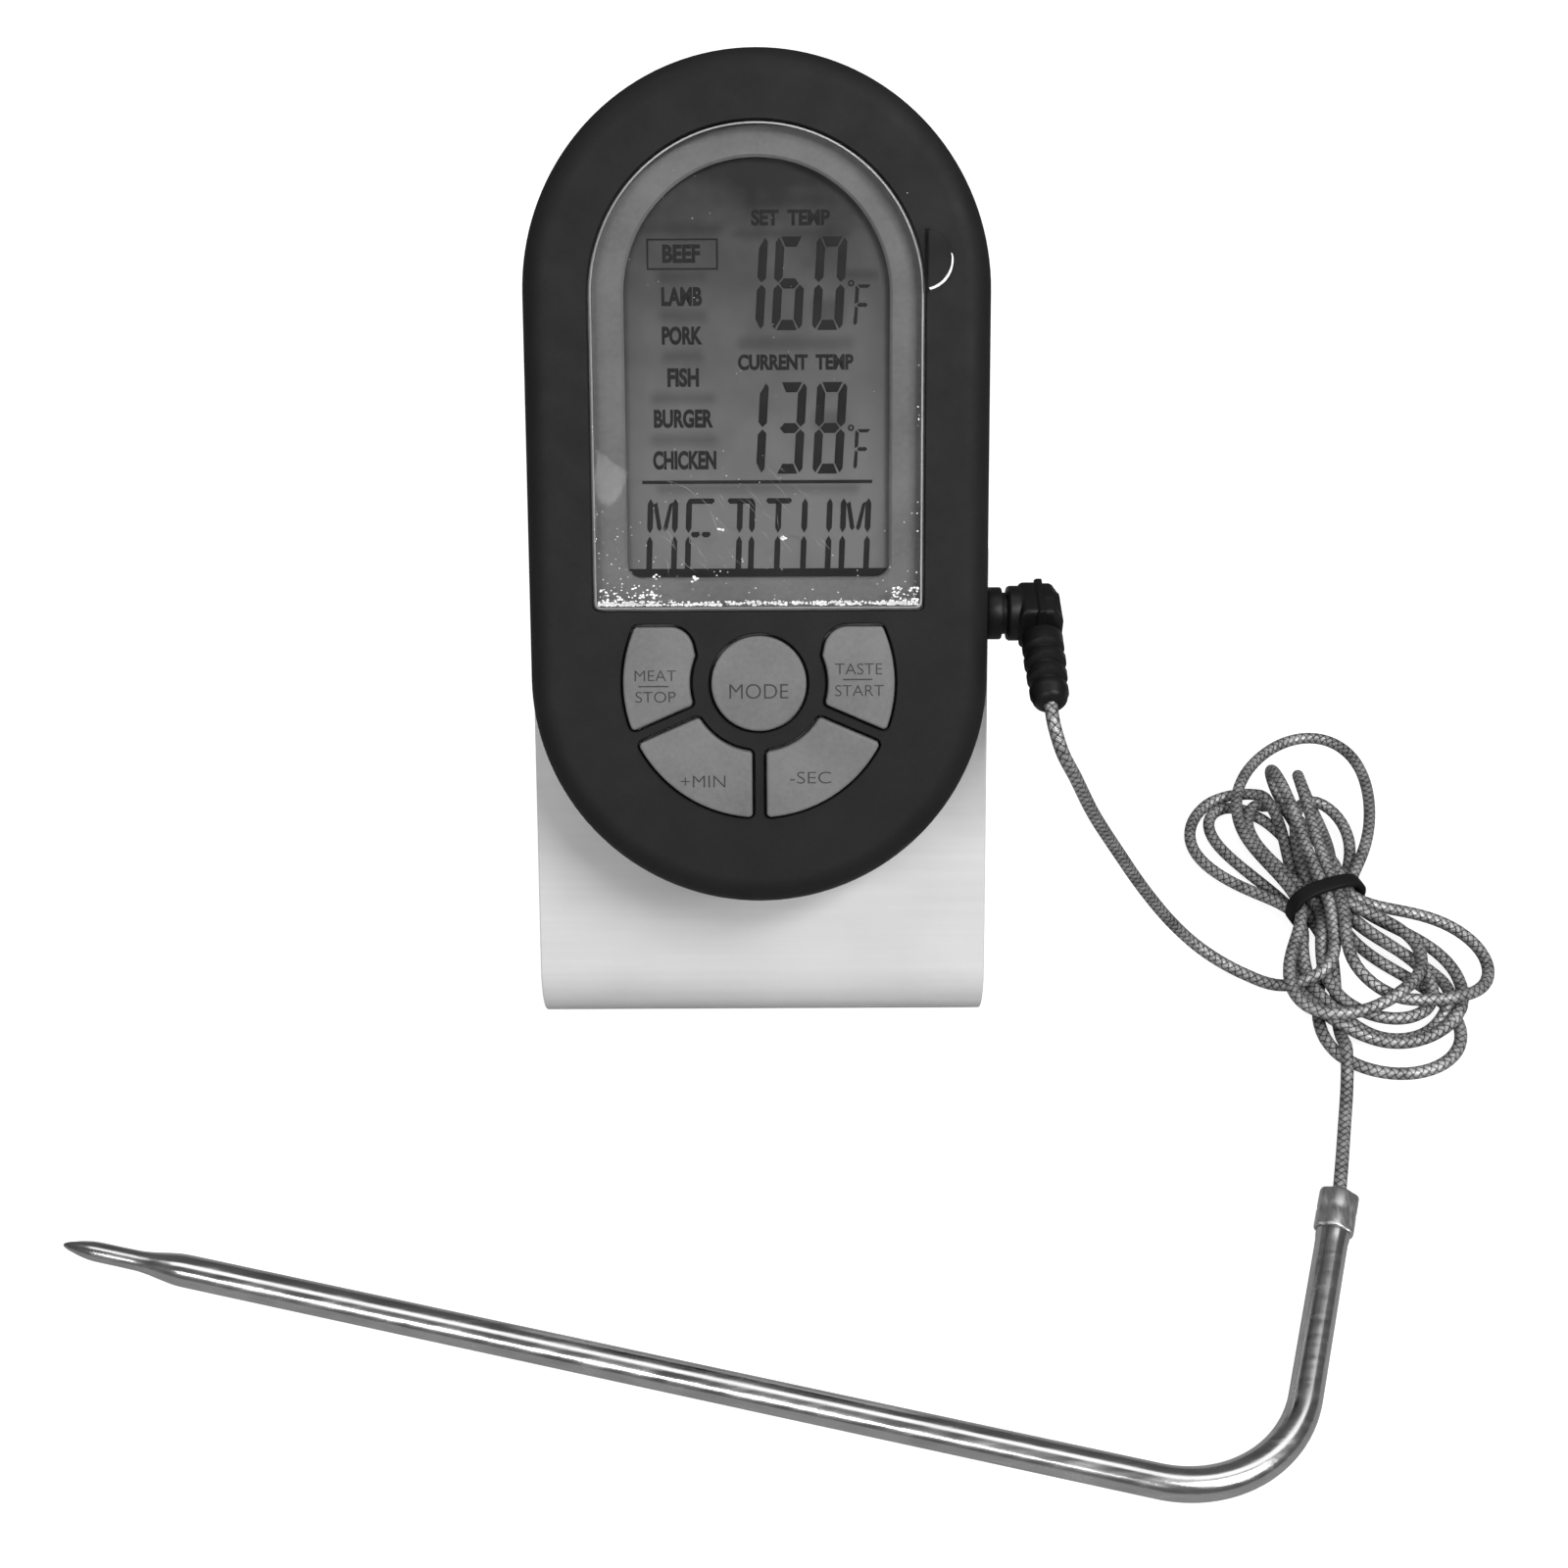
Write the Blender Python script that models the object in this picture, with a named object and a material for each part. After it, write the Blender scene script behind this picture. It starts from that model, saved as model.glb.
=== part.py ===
"""Oven meat thermometer: a leaning display unit on a bent sheet stand, with a plug-in steel probe on a braided lead.

World frame: metres, +Z up, origin in the middle of the flat underside of the stand's foot, front towards -Y.
Housing pieces hang on the face frame: its origin is the middle of the front face, X runs to the right, Y up the
face and Z straight out of it. Depths into the housing are therefore negative Z.
"""

import math

import bmesh
import bpy
from mathutils import Matrix, Vector

# Driving dimensions, in metres
GAP = 0.0003
LEAN = math.radians(55.0)
HOUSING_WIDTH = 0.0660
HOUSING_LENGTH = 0.1204
HOUSING_DEPTH = 0.0197
SEAM_DEPTH = 0.0097
FRONT_EDGE_RADIUS = 0.0040
BACK_EDGE_RADIUS = 0.0025
WALL = 0.0018
FACE_WALL = 0.0018
BACK_WALL = 0.0022

STAND_WIDTH = 0.0696
STAND_SHEET = 0.0012
STAND_BEND_RADIUS = 0.0090
STAND_LEAF_BELOW_FACE_CENTRE = 0.0743
STAND_LEAF_TOP = -0.0040
FOOT_LENGTH = 0.0680
STAND_CORNER_RADIUS = 0.0060

LENS_HALF_WIDTH = 0.0233
LENS_TOP = 0.0498
LENS_BOTTOM = -0.0170
LENS_THICKNESS = 0.0017
VIEW_HALF_WIDTH = 0.0187
VIEW_TOP = 0.0454
VIEW_BOTTOM = -0.0127

KEY_CENTRE_Y = -0.0276
MODE_KEY_RADIUS = 0.0068
RING_KEY_INNER = 0.0099
RING_KEY_OUTER = 0.0194
RING_KEY_TOP = 0.0081
KEY_SPACING = 0.00205
KEY_DIAGONAL = math.radians(23.5)
KEY_PROUD = 0.0010
KEY_CLEARANCE = 0.00035
KEY_FLANGE = 0.0008
KEY_BOTTOM_DEPTH = 0.0029
DOME_TOP_DEPTH = 0.0040

BATTERY_RADIUS = 0.0052
BATTERY_BODY = 0.0437
BATTERY_NUB = 0.0008
BATTERY_DEPTH = 0.01255
BATTERY_YS = (0.01735, 0.02925)
BAY_HALF_WIDTH = 0.0267
BAY_BOTTOM = 0.0112
BAY_TOP = 0.0354
BAY_FLOOR_DEPTH = 0.0070
BAY_WALL = 0.0009
DOOR_HALF_WIDTH = 0.0279
DOOR_BOTTOM = 0.0091
DOOR_TOP = 0.0372
DOOR_THICKNESS = 0.0016

HOUSING_SCREWS = ((0.0, 0.0546), (-0.0276, 0.0030), (0.0276, 0.0030))
STAND_SCREWS = ((-0.0130, -0.0500), (0.0130, -0.0500))
SCREW_HEAD_RADIUS = 0.0023
SCREW_SHANK_RADIUS = 0.00115
SCREW_HOLE_RADIUS = 0.0015

JACK_Y = -0.01875
JACK_DEPTH = 0.0141
PLUG_PIN_RADIUS = 0.00125
SWITCH_Y = 0.0030
SWITCH_TRAVEL = 0.0035

CORD_DIAMETER = 0.0020
PROBE_DIAMETER = 0.0046
PROBE_BEND_RADIUS = 0.0185
PROBE_CORNER = (0.0688, -0.1247)
PROBE_TIP = (-0.1017, -0.0838)
PROBE_END = (0.0857, -0.0761)
PROBE_WALL = 0.0005
FERRULE_LENGTH = 0.0070
FERRULE_RADII = (0.0028, 0.0021)
FERRULE_BORE = 0.0012

TIE_CENTRE = (0.0940, -0.0210)
TIE_TURN = math.radians(34.0)
TIE_WIDTH = 0.0022
HANK_BOTTOM = 0.00105
HANK_TOP = 0.0080
HANK_WAIST = 0.0060

# The lead's route between the plug and the hank, and between the hank and the probe
UPPER_ROUTE = (
    (0.0420, -0.0318, 0.0604),
    (0.0424, -0.0346, 0.0587),
    (0.0438, -0.0365, 0.0550),
    (0.0461, -0.0362, 0.0500),
    (0.0500, -0.0343, 0.0405),
    (0.0548, -0.0319, 0.0305),
    (0.0608, -0.0297, 0.0190),
    (0.0669, -0.0284, 0.0093),
    (0.0727, -0.0287, 0.0030),
    (0.0777, -0.0309, 0.0011),
    (0.0815, -0.0336, 0.0011),
    (0.0836, -0.0347, 0.0011),
)
LOWER_ROUTE = (
    (0.0918, -0.0530, 0.0013),
    (0.0910, -0.0570, 0.0012),
    (0.0895, -0.0625, 0.0013),
    (0.0877, -0.0690, 0.0018),
    (0.0860, -0.0749, 0.0023),
)

STAND_BEND_Y = -FOOT_LENGTH / 2
UP_FACE = Vector((0.0, math.cos(LEAN), math.sin(LEAN)))
OUT_OF_FACE = Vector((0.0, -math.sin(LEAN), math.cos(LEAN)))
LEAF_FRONT_DEPTH = HOUSING_DEPTH + GAP
STAND_BEND_CENTRE = Vector((0.0, STAND_BEND_Y, STAND_BEND_RADIUS))
FACE_CENTRE = (
    STAND_BEND_CENTRE
    + UP_FACE * STAND_LEAF_BELOW_FACE_CENTRE
    + OUT_OF_FACE * (STAND_BEND_RADIUS + LEAF_FRONT_DEPTH)
)
END_CENTRE_Y = HOUSING_LENGTH / 2 - HOUSING_WIDTH / 2


def clear_scene():
    for obj in list(bpy.data.objects):
        bpy.data.objects.remove(obj, do_unlink=True)


def material(name, colour, roughness, metallic=0.0):
    found = bpy.data.materials.new(name)
    found.use_nodes = True
    shader = found.node_tree.nodes["Principled BSDF"]
    shader.inputs["Base Color"].default_value = (*colour, 1.0)
    shader.inputs["Roughness"].default_value = roughness
    shader.inputs["Metallic"].default_value = metallic
    found.diffuse_color = (*colour, 1.0)
    return found


def make(name, points, faces, finish, parent=None, origin=(0.0, 0.0, 0.0)):
    """An object from points given in its parent's frame; its own origin is placed at origin."""
    place = Vector(origin)
    mesh = bpy.data.meshes.new(name)
    mesh.from_pydata([tuple(Vector(p) - place) for p in points], [], faces)
    shape = bmesh.new()
    shape.from_mesh(mesh)
    bmesh.ops.recalc_face_normals(shape, faces=shape.faces)
    shape.to_mesh(mesh)
    shape.free()
    mesh.materials.append(finish)
    mesh.shade_smooth()
    mesh.set_sharp_from_angle(angle=math.radians(35))
    obj = bpy.data.objects.new(name, mesh)
    bpy.context.scene.collection.objects.link(obj)
    obj.parent = parent
    obj.location = place
    return obj


def stack(levels):
    """Points and faces of a closed solid lofted through outlines with equal numbers of points."""
    count = len(levels[0])
    points = [point for level in levels for point in level]
    faces = [tuple(range(count))]
    for row in range(len(levels) - 1):
        for i in range(count):
            j = (i + 1) % count
            faces.append((row * count + i, row * count + j, (row + 1) * count + j, (row + 1) * count + i))
    last = (len(levels) - 1) * count
    faces.append(tuple(range(last, last + count)))
    return points, faces


def at_depth(outline, depth):
    return [(x, y, -depth) for x, y in outline]


def arc(centre, radius, start, end, steps):
    """Points on an arc, both ends included; angles in degrees."""
    turn = [math.radians(start + (end - start) * i / steps) for i in range(steps + 1)]
    return [(centre[0] + radius * math.cos(a), centre[1] + radius * math.sin(a)) for a in turn]


def circle(centre, radius, steps=20):
    return arc(centre, radius, 0, 360, steps)[:-1]


def stadium(inset, steps=20):
    """The housing's outline, moved inwards by inset."""
    radius = HOUSING_WIDTH / 2 - inset
    upper = arc((0.0, END_CENTRE_Y), radius, 0, 180, steps)
    lower = arc((0.0, -END_CENTRE_Y), radius, 180, 360, steps)
    return upper + lower


def arch(half_width, top, bottom, corner=0.0008, steps=20):
    """A round-topped window outline with small bottom corners."""
    head = arc((0.0, top - half_width), half_width, 0, 180, steps)
    left = arc((-half_width + corner, bottom + corner), corner, 180, 270, 3)
    right = arc((half_width - corner, bottom + corner), corner, 270, 360, 3)
    return head + left + right


def rectangle(x_low, x_high, y_low, y_high, corner=0.0, steps=3):
    if corner == 0.0:
        return [(x_low, y_low), (x_high, y_low), (x_high, y_high), (x_low, y_high)]
    corners = (
        (x_low + corner, y_low + corner, 180),
        (x_high - corner, y_low + corner, 270),
        (x_high - corner, y_high - corner, 0),
        (x_low + corner, y_high - corner, 90),
    )
    return [point for x, y, turn in corners for point in arc((x, y), corner, turn, turn + 90, steps)]


def plate(name, outline, depth_front, depth_back, finish, parent, origin=(0.0, 0.0, 0.0)):
    points, faces = stack([at_depth(outline, depth_front), at_depth(outline, depth_back)])
    return make(name, points, faces, finish, parent, origin)


def box(name, low, high, finish, parent=None):
    outline = rectangle(low[0], high[0], low[1], high[1])
    return plate(name, outline, -high[2], -low[2], finish, parent)


def turned(name, profile, start, axis, finish, parent=None, sides=16):
    """A solid turned about axis through start; profile lists (distance along the axis, radius)."""
    way = Vector(axis).normalized()
    side = way.orthogonal().normalized()
    other = way.cross(side)
    levels = []
    for along, radius in profile:
        ring = []
        for i in range(sides):
            turn = 2 * math.pi * i / sides
            ring.append(Vector(start) + way * along + (side * math.cos(turn) + other * math.sin(turn)) * radius)
        levels.append(ring)
    points, faces = stack(levels)
    return make(name, points, faces, finish, parent)


def combine(obj, tool, operation):
    """Applies one Boolean to obj with tool, and removes the tool."""
    bpy.context.view_layer.update()
    modifier = obj.modifiers.new(operation.lower(), "BOOLEAN")
    modifier.operation = operation
    modifier.object = tool
    bpy.context.view_layer.update()
    graph = bpy.context.evaluated_depsgraph_get()
    mesh = bpy.data.meshes.new_from_object(obj.evaluated_get(graph))
    obj.modifiers.clear()
    old = obj.data
    obj.data = mesh
    mesh.name = old.name
    bpy.data.meshes.remove(old)
    bpy.data.objects.remove(tool, do_unlink=True)
    while len(mesh.materials) > 1:
        mesh.materials.pop()
    mesh.shade_smooth()
    mesh.set_sharp_from_angle(angle=math.radians(35))


def cut(obj, tool):
    combine(obj, tool, "DIFFERENCE")


def add(obj, tool):
    combine(obj, tool, "UNION")


def sweep(path, radii, sides):
    """Rings of points along path, one for each radius; a pair of radii makes an oval ring."""
    rings = []
    side = None
    for i, point in enumerate(path):
        ahead = path[min(i + 1, len(path) - 1)]
        behind = path[max(i - 1, 0)]
        way = (ahead - behind).normalized()
        if side is None:
            side = way.cross(Vector((0.0, 0.0, 1.0))).normalized()
        side = (side - way * side.dot(way)).normalized()
        other = way.cross(side)
        wide, high = radii[i] if isinstance(radii[i], tuple) else (radii[i], radii[i])
        ring = []
        for k in range(sides):
            turn = 2 * math.pi * k / sides
            ring.append(point + side * (wide * math.cos(turn)) + other * (high * math.sin(turn)))
        rings.append(ring)
    return rings


def smooth_curve(route, spacing):
    """Points about spacing apart on a Catmull-Rom curve through the route's points."""
    stops = [Vector(p) for p in route]
    stops = [stops[0] * 2 - stops[1]] + stops + [stops[-1] * 2 - stops[-2]]
    fine = []
    for i in range(1, len(stops) - 2):
        before, start, end, after = stops[i - 1 : i + 3]
        for k in range(24):
            t = k / 24
            fine.append(
                0.5
                * (
                    2 * start
                    + (end - before) * t
                    + (2 * before - 5 * start + 4 * end - after) * t * t
                    + (3 * start - before - 3 * end + after) * t**3
                )
            )
    fine.append(stops[-2])
    length = sum((b - a).length for a, b in zip(fine, fine[1:]))
    wanted = max(2, round(length / spacing))
    points = [fine[0]]
    walked = 0.0
    for a, b in zip(fine, fine[1:]):
        step = (b - a).length
        while len(points) < wanted and walked + step >= length * len(points) / wanted:
            points.append(a.lerp(b, (length * len(points) / wanted - walked) / step))
        walked += step
    points.append(fine[-1])
    return points


def tube(name, points, radius, finish, parent=None, resolution=2):
    """A round cord or wire: a poly curve with a bevel and filled caps."""
    place = Vector(points[0])
    curve = bpy.data.curves.new(name, "CURVE")
    curve.dimensions = "3D"
    curve.bevel_depth = radius
    curve.bevel_resolution = resolution
    curve.use_fill_caps = True
    spline = curve.splines.new("POLY")
    spline.points.add(len(points) - 1)
    for slot, point in zip(spline.points, points):
        slot.co = (*(Vector(point) - place), 1.0)
    curve.materials.append(finish)
    obj = bpy.data.objects.new(name, curve)
    bpy.context.scene.collection.objects.link(obj)
    obj.parent = parent
    obj.location = place
    return obj


def empty(name, location, tilt=0.0):
    obj = bpy.data.objects.new(name, None)
    bpy.context.scene.collection.objects.link(obj)
    obj.location = location
    obj.rotation_euler = (tilt, 0.0, 0.0)
    return obj


def post(obj, centre, radius, depth_front, depth_back, face):
    add(obj, plate("post", circle(centre, radius, 16), depth_front, depth_back, obj.data.materials[0], face))


def hole(obj, outline, depth_front, depth_back, face):
    cut(obj, plate("hole", outline, depth_front, depth_back, obj.data.materials[0], face))


def edge_steps(radius, steps=4):
    """(inset, depth) pairs round an outside edge, from the flat face to the side."""
    turns = [math.pi / 2 * i / steps for i in range(steps + 1)]
    return [(radius * (1 - math.sin(a)), radius * (1 - math.cos(a))) for a in turns]


def key_outline(grow, side, lower):
    """One of the four keys round the middle key, grown outwards by grow. side is -1 on the left and 1 on the right."""
    inner = RING_KEY_INNER - grow
    outer = RING_KEY_OUTER + grow
    half_gap = KEY_SPACING / 2 - grow
    slope = (math.cos(KEY_DIAGONAL), -math.sin(KEY_DIAGONAL))
    normal = (math.sin(KEY_DIAGONAL), math.cos(KEY_DIAGONAL))

    def on_diagonal(radius, offset):
        along = math.sqrt(radius * radius - offset * offset)
        x = slope[0] * along + normal[0] * offset
        y = slope[1] * along + normal[1] * offset
        return math.degrees(math.atan2(y, x))

    if lower:
        first_inner = -math.degrees(math.acos(half_gap / inner))
        first_outer = -math.degrees(math.acos(half_gap / outer))
        last_inner = on_diagonal(inner, -half_gap)
        last_outer = on_diagonal(outer, -half_gap)
    else:
        top = RING_KEY_TOP + grow
        first_inner = on_diagonal(inner, half_gap)
        first_outer = on_diagonal(outer, half_gap)
        last_inner = math.degrees(math.asin(min(0.999, (top - 0.0035) / inner)))
        last_outer = math.degrees(math.asin(top / outer))
    corners = arc((0.0, 0.0), outer, first_outer, last_outer, 10)
    inside = arc((0.0, 0.0), inner, last_inner, first_inner, 8)
    if not lower:
        end = inside[0]
        reach = 0.0026
        corners += arc((end[0] + reach + 0.0004, top - reach - 0.0002), reach + 0.0002, 90, 165, 4)
    outline = corners + inside
    return [(side * x, KEY_CENTRE_Y + y) for x, y in outline]


def key(name, outline_of, centre, finish, face):
    levels = [
        at_depth(outline_of(-0.0004), -KEY_PROUD),
        at_depth(outline_of(0.0), -KEY_PROUD + 0.0004),
        at_depth(outline_of(0.0), FACE_WALL + GAP),
        at_depth(outline_of(KEY_FLANGE), FACE_WALL + GAP),
        at_depth(outline_of(KEY_FLANGE), KEY_BOTTOM_DEPTH),
    ]
    points, faces = stack(levels)
    return make(name, points, faces, finish, face, (*centre, 0.0))


def ring_key_centre(side, lower):
    turn = math.radians(-56.0 if lower else 2.0)
    radius = (RING_KEY_INNER + RING_KEY_OUTER) / 2
    return (side * radius * math.cos(turn), KEY_CENTRE_Y + radius * math.sin(turn))


RING_KEYS = {
    "key_meat_stop": (-1, False),
    "key_taste_start": (1, False),
    "key_minutes": (-1, True),
    "key_seconds": (1, True),
}


def make_keys(face, finish):
    def mode_outline(grow):
        return circle((0.0, KEY_CENTRE_Y), MODE_KEY_RADIUS + grow, 28)

    key("key_mode", mode_outline, (0.0, KEY_CENTRE_Y), finish, face)
    for name, (side, lower) in RING_KEYS.items():

        def outline_of(grow, side=side, lower=lower):
            return key_outline(grow, side, lower)

        key(name, outline_of, ring_key_centre(side, lower), finish, face)


def make_housing_front(face, finish):
    edge = edge_steps(FRONT_EDGE_RADIUS)
    levels = [at_depth(stadium(inset), depth) for inset, depth in edge]
    levels.append(at_depth(stadium(0.0), SEAM_DEPTH))
    levels.append(at_depth(stadium(WALL), SEAM_DEPTH))
    levels.append(at_depth(stadium(WALL), FRONT_EDGE_RADIUS))
    levels.append(at_depth(stadium(FRONT_EDGE_RADIUS), FACE_WALL))
    points, faces = stack(levels)
    front = make("housing_front", points, faces, finish, face)
    for centre in HOUSING_SCREWS + STAND_SCREWS:
        post(front, centre, 0.0025, FACE_WALL - GAP, SEAM_DEPTH - GAP, face)
        hole(front, circle(centre, SCREW_HOLE_RADIUS, 12), 0.0040, SEAM_DEPTH + GAP, face)
    lens_hole = arch(LENS_HALF_WIDTH + GAP, LENS_TOP + GAP, LENS_BOTTOM - GAP)
    hole(front, lens_hole, -GAP, FACE_WALL + GAP, face)
    mode_hole = circle((0.0, KEY_CENTRE_Y), MODE_KEY_RADIUS + KEY_CLEARANCE, 28)
    hole(front, mode_hole, -GAP, FACE_WALL + GAP, face)
    for side, lower in RING_KEYS.values():
        hole(front, key_outline(KEY_CLEARANCE, side, lower), -GAP, FACE_WALL + GAP, face)


def make_housing_rear(face, finish):
    inner_back = HOUSING_DEPTH - BACK_WALL
    levels = [
        at_depth(stadium(WALL), inner_back),
        at_depth(stadium(WALL), SEAM_DEPTH + GAP),
        at_depth(stadium(0.0), SEAM_DEPTH + GAP),
    ]
    for inset, depth in reversed(edge_steps(BACK_EDGE_RADIUS, 3)):
        levels.append(at_depth(stadium(inset), HOUSING_DEPTH - depth))
    points, faces = stack(levels)
    rear = make("housing_rear", points, faces, finish, face)

    for centre in HOUSING_SCREWS + STAND_SCREWS:
        post(rear, centre, 0.0031, SEAM_DEPTH + GAP, inner_back + GAP, face)
        hole(rear, circle(centre, SCREW_HOLE_RADIUS, 12), SEAM_DEPTH, HOUSING_DEPTH + GAP, face)
    for centre in HOUSING_SCREWS:
        hole(rear, circle(centre, SCREW_HEAD_RADIUS + 0.0004, 16), inner_back - GAP, HOUSING_DEPTH + GAP, face)

    bay = rectangle(
        -BAY_HALF_WIDTH - BAY_WALL, BAY_HALF_WIDTH + BAY_WALL, BAY_BOTTOM - BAY_WALL, BAY_TOP + BAY_WALL
    )
    bay_front = BAY_FLOOR_DEPTH - 0.0008
    add(rear, plate("bay", bay, bay_front, inner_back + GAP, finish, face))
    ledge = rectangle(-DOOR_HALF_WIDTH - 0.0015, DOOR_HALF_WIDTH + 0.0015, DOOR_BOTTOM - 0.0012, DOOR_TOP + 0.0012)
    add(rear, plate("ledge", ledge, inner_back - 0.0010, inner_back + GAP, finish, face))
    recess = rectangle(
        -DOOR_HALF_WIDTH - GAP, DOOR_HALF_WIDTH + GAP, DOOR_BOTTOM - GAP, DOOR_TOP + GAP, 0.0010
    )
    recess_floor = HOUSING_DEPTH - DOOR_THICKNESS - GAP
    hole(rear, recess, recess_floor, HOUSING_DEPTH + GAP, face)
    inside = rectangle(-BAY_HALF_WIDTH, BAY_HALF_WIDTH, BAY_BOTTOM, BAY_TOP)
    hole(rear, inside, BAY_FLOOR_DEPTH, HOUSING_DEPTH, face)

    slot = rectangle(-0.0038, 0.0038, SWITCH_Y - 0.0017, SWITCH_Y + 0.0017)
    hole(rear, slot, inner_back - GAP, HOUSING_DEPTH + GAP, face)
    mouth = (HOUSING_WIDTH / 2 - WALL - GAP, JACK_Y, -JACK_DEPTH)
    cut(rear, turned("mouth", ((0.0, 0.0032), (0.0035, 0.0032)), mouth, (1, 0, 0), finish, face))


def make_window(face, clear, film, silver, glass):
    lens = arch(LENS_HALF_WIDTH, LENS_TOP, LENS_BOTTOM)
    plate("window_lens", lens, 0.0001, 0.0001 + LENS_THICKNESS, clear, face)

    film_outline = arch(LENS_HALF_WIDTH - 0.0004, LENS_TOP - 0.0004, LENS_BOTTOM + 0.0004)
    sheet = plate("protective_film", film_outline, -0.00030, -0.00015, film, face)
    tab = rectangle(0.0200, 0.0273, 0.0268, 0.0353, 0.0035, 6)
    add(sheet, plate("tab", tab, -0.00030, -0.00015, film, face))

    rim = arch(LENS_HALF_WIDTH + 0.0012, LENS_TOP + 0.0012, LENS_BOTTOM - 0.0010)
    frame = plate("display_frame", rim, FACE_WALL + GAP, 0.0033, silver, face)
    hole(frame, arch(VIEW_HALF_WIDTH, VIEW_TOP, VIEW_BOTTOM, 0.0020), FACE_WALL, 0.0036, face)

    plate("lcd_panel", rectangle(-0.0200, 0.0200, -0.0165, 0.0465), 0.0036, 0.0058, glass, face)


def make_electronics(face, board, rubber, black, silver):
    zebra = rectangle(-0.0180, 0.0180, -0.0162, -0.0136)
    plate("lcd_connector_strip", zebra, 0.0061, 0.0084, rubber, face)

    radius = 0.0226
    lower = arc((0.0, -END_CENTRE_Y), radius, 180, 360, 20)
    plate("main_pcb", lower + [(radius, 0.0085), (-radius, 0.0085)], 0.0087, 0.0101, board, face)

    radius = 0.0216
    lower = arc((0.0, -END_CENTRE_Y), radius, 180, 360, 20)
    membrane = plate(
        "keypad_membrane", lower + [(radius, -0.0175), (-radius, -0.0175)], 0.0074, 0.0084, rubber, face
    )
    centres = [(0.0, KEY_CENTRE_Y)] + [ring_key_centre(side, low) for side, low in RING_KEYS.values()]
    for centre in centres:
        dome = stack(
            [at_depth(circle(centre, 0.0024, 12), DOME_TOP_DEPTH), at_depth(circle(centre, 0.0034, 12), 0.0077)]
        )
        add(membrane, make("dome", *dome, rubber, face))

    plate("control_chip", rectangle(0.0030, 0.0130, -0.0400, -0.0300), 0.0104, 0.0118, black, face)
    plate("buzzer", circle((-0.0120, -0.0345), 0.0060, 20), 0.0104, 0.0154, black, face)

    start = (0.0205, JACK_Y, -JACK_DEPTH)
    low = (start[0], JACK_Y - 0.0036, -0.0172)
    high = (0.0309, JACK_Y + 0.0036, -0.0104)
    jack = box("jack_socket", low, high, black, face)
    add(jack, turned("neck", ((0.0, 0.0029), (0.0022, 0.0029)), (0.0305, JACK_Y, -JACK_DEPTH), (1, 0, 0), black, face))
    bore_start = (0.0218, JACK_Y, -JACK_DEPTH)
    cut(jack, turned("bore", ((0.0, 0.0016), (0.0120, 0.0016)), bore_start, (1, 0, 0), black, face))

    box("switch_body", (-0.0055, SWITCH_Y - 0.0022, -0.0156), (0.0055, SWITCH_Y + 0.0022, -0.0104), silver, face)


def make_power_switch(face, black):
    """The slider rests at its off end, at the left of its slot as seen from the front."""
    x = -SWITCH_TRAVEL / 2
    outline = rectangle(x - 0.0017, x + 0.0017, SWITCH_Y - 0.0013, SWITCH_Y + 0.0013)
    plate("power_switch", outline, 0.0159, HOUSING_DEPTH + 0.0002, black, face, (x, SWITCH_Y, -HOUSING_DEPTH))


def make_battery(name, y, towards, wrap, face):
    """A cell with its nub towards +X (1) or -X (-1)."""
    start = (-towards * 0.0209, y, -BATTERY_DEPTH)
    profile = (
        (0.0, BATTERY_RADIUS - 0.0004),
        (0.0004, BATTERY_RADIUS),
        (BATTERY_BODY - 0.0004, BATTERY_RADIUS),
        (BATTERY_BODY, BATTERY_RADIUS - 0.0006),
        (BATTERY_BODY, 0.0019),
        (BATTERY_BODY + BATTERY_NUB, 0.0017),
    )
    turned(name, profile, start, (towards, 0, 0), wrap, face, 20)


def make_spring(name, y, side, finish, face):
    """A conical contact spring between a cell's flat end and its plate, on the left (-1) or right (1)."""
    turns = 3
    count = turns * 10
    points = []
    for i in range(count + 1):
        share = i / count
        turn = 2 * math.pi * turns * share
        radius = 0.0036 - 0.0016 * share
        x = side * (0.0254 - 0.0037 * share)
        points.append((x, y + radius * math.cos(turn), -BATTERY_DEPTH + radius * math.sin(turn)))
    tube(name, points, 0.00025, finish, face, 1)


def make_contact(name, x_side, y_low, y_high, bump_y, finish, face):
    """A contact plate against the bay's end wall, with a pressed bump for a cell's nub where bump_y is given."""
    outer = BAY_HALF_WIDTH - GAP
    inner = outer - 0.0004
    xs = sorted((x_side * inner, x_side * outer))
    low = (xs[0], y_low, -0.0170)
    high = (xs[1], y_high, -0.0080)
    contact = box(name, low, high, finish, face)
    if bump_y is not None:
        reach = inner - 0.0241
        profile = ((-0.0002, 0.0028), (reach, 0.0012))
        start = (x_side * inner, bump_y, -BATTERY_DEPTH)
        add(contact, turned("bump", profile, start, (-x_side, 0, 0), finish, face))


def make_power(face, wrap, metal):
    lower, upper = BATTERY_YS
    make_battery("battery_1", lower, 1, wrap, face)
    make_battery("battery_2", upper, -1, wrap, face)
    make_contact("contact_positive", 1, BAY_BOTTOM + GAP, lower + 0.0056, lower, metal, face)
    make_contact("contact_negative", 1, upper - 0.0056, BAY_TOP - GAP, None, metal, face)
    make_contact("contact_bridge", -1, BAY_BOTTOM + GAP, BAY_TOP - GAP, upper, metal, face)
    make_spring("battery_spring_1", lower, -1, metal, face)
    make_spring("battery_spring_2", upper, 1, metal, face)


def make_battery_door(face, finish):
    outline = rectangle(-DOOR_HALF_WIDTH, DOOR_HALF_WIDTH, DOOR_BOTTOM, DOOR_TOP, 0.0010)
    hinge = (0.0, DOOR_BOTTOM, -HOUSING_DEPTH)
    front = HOUSING_DEPTH - DOOR_THICKNESS
    plate("battery_door", outline, front, HOUSING_DEPTH, finish, face, hinge)


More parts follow.
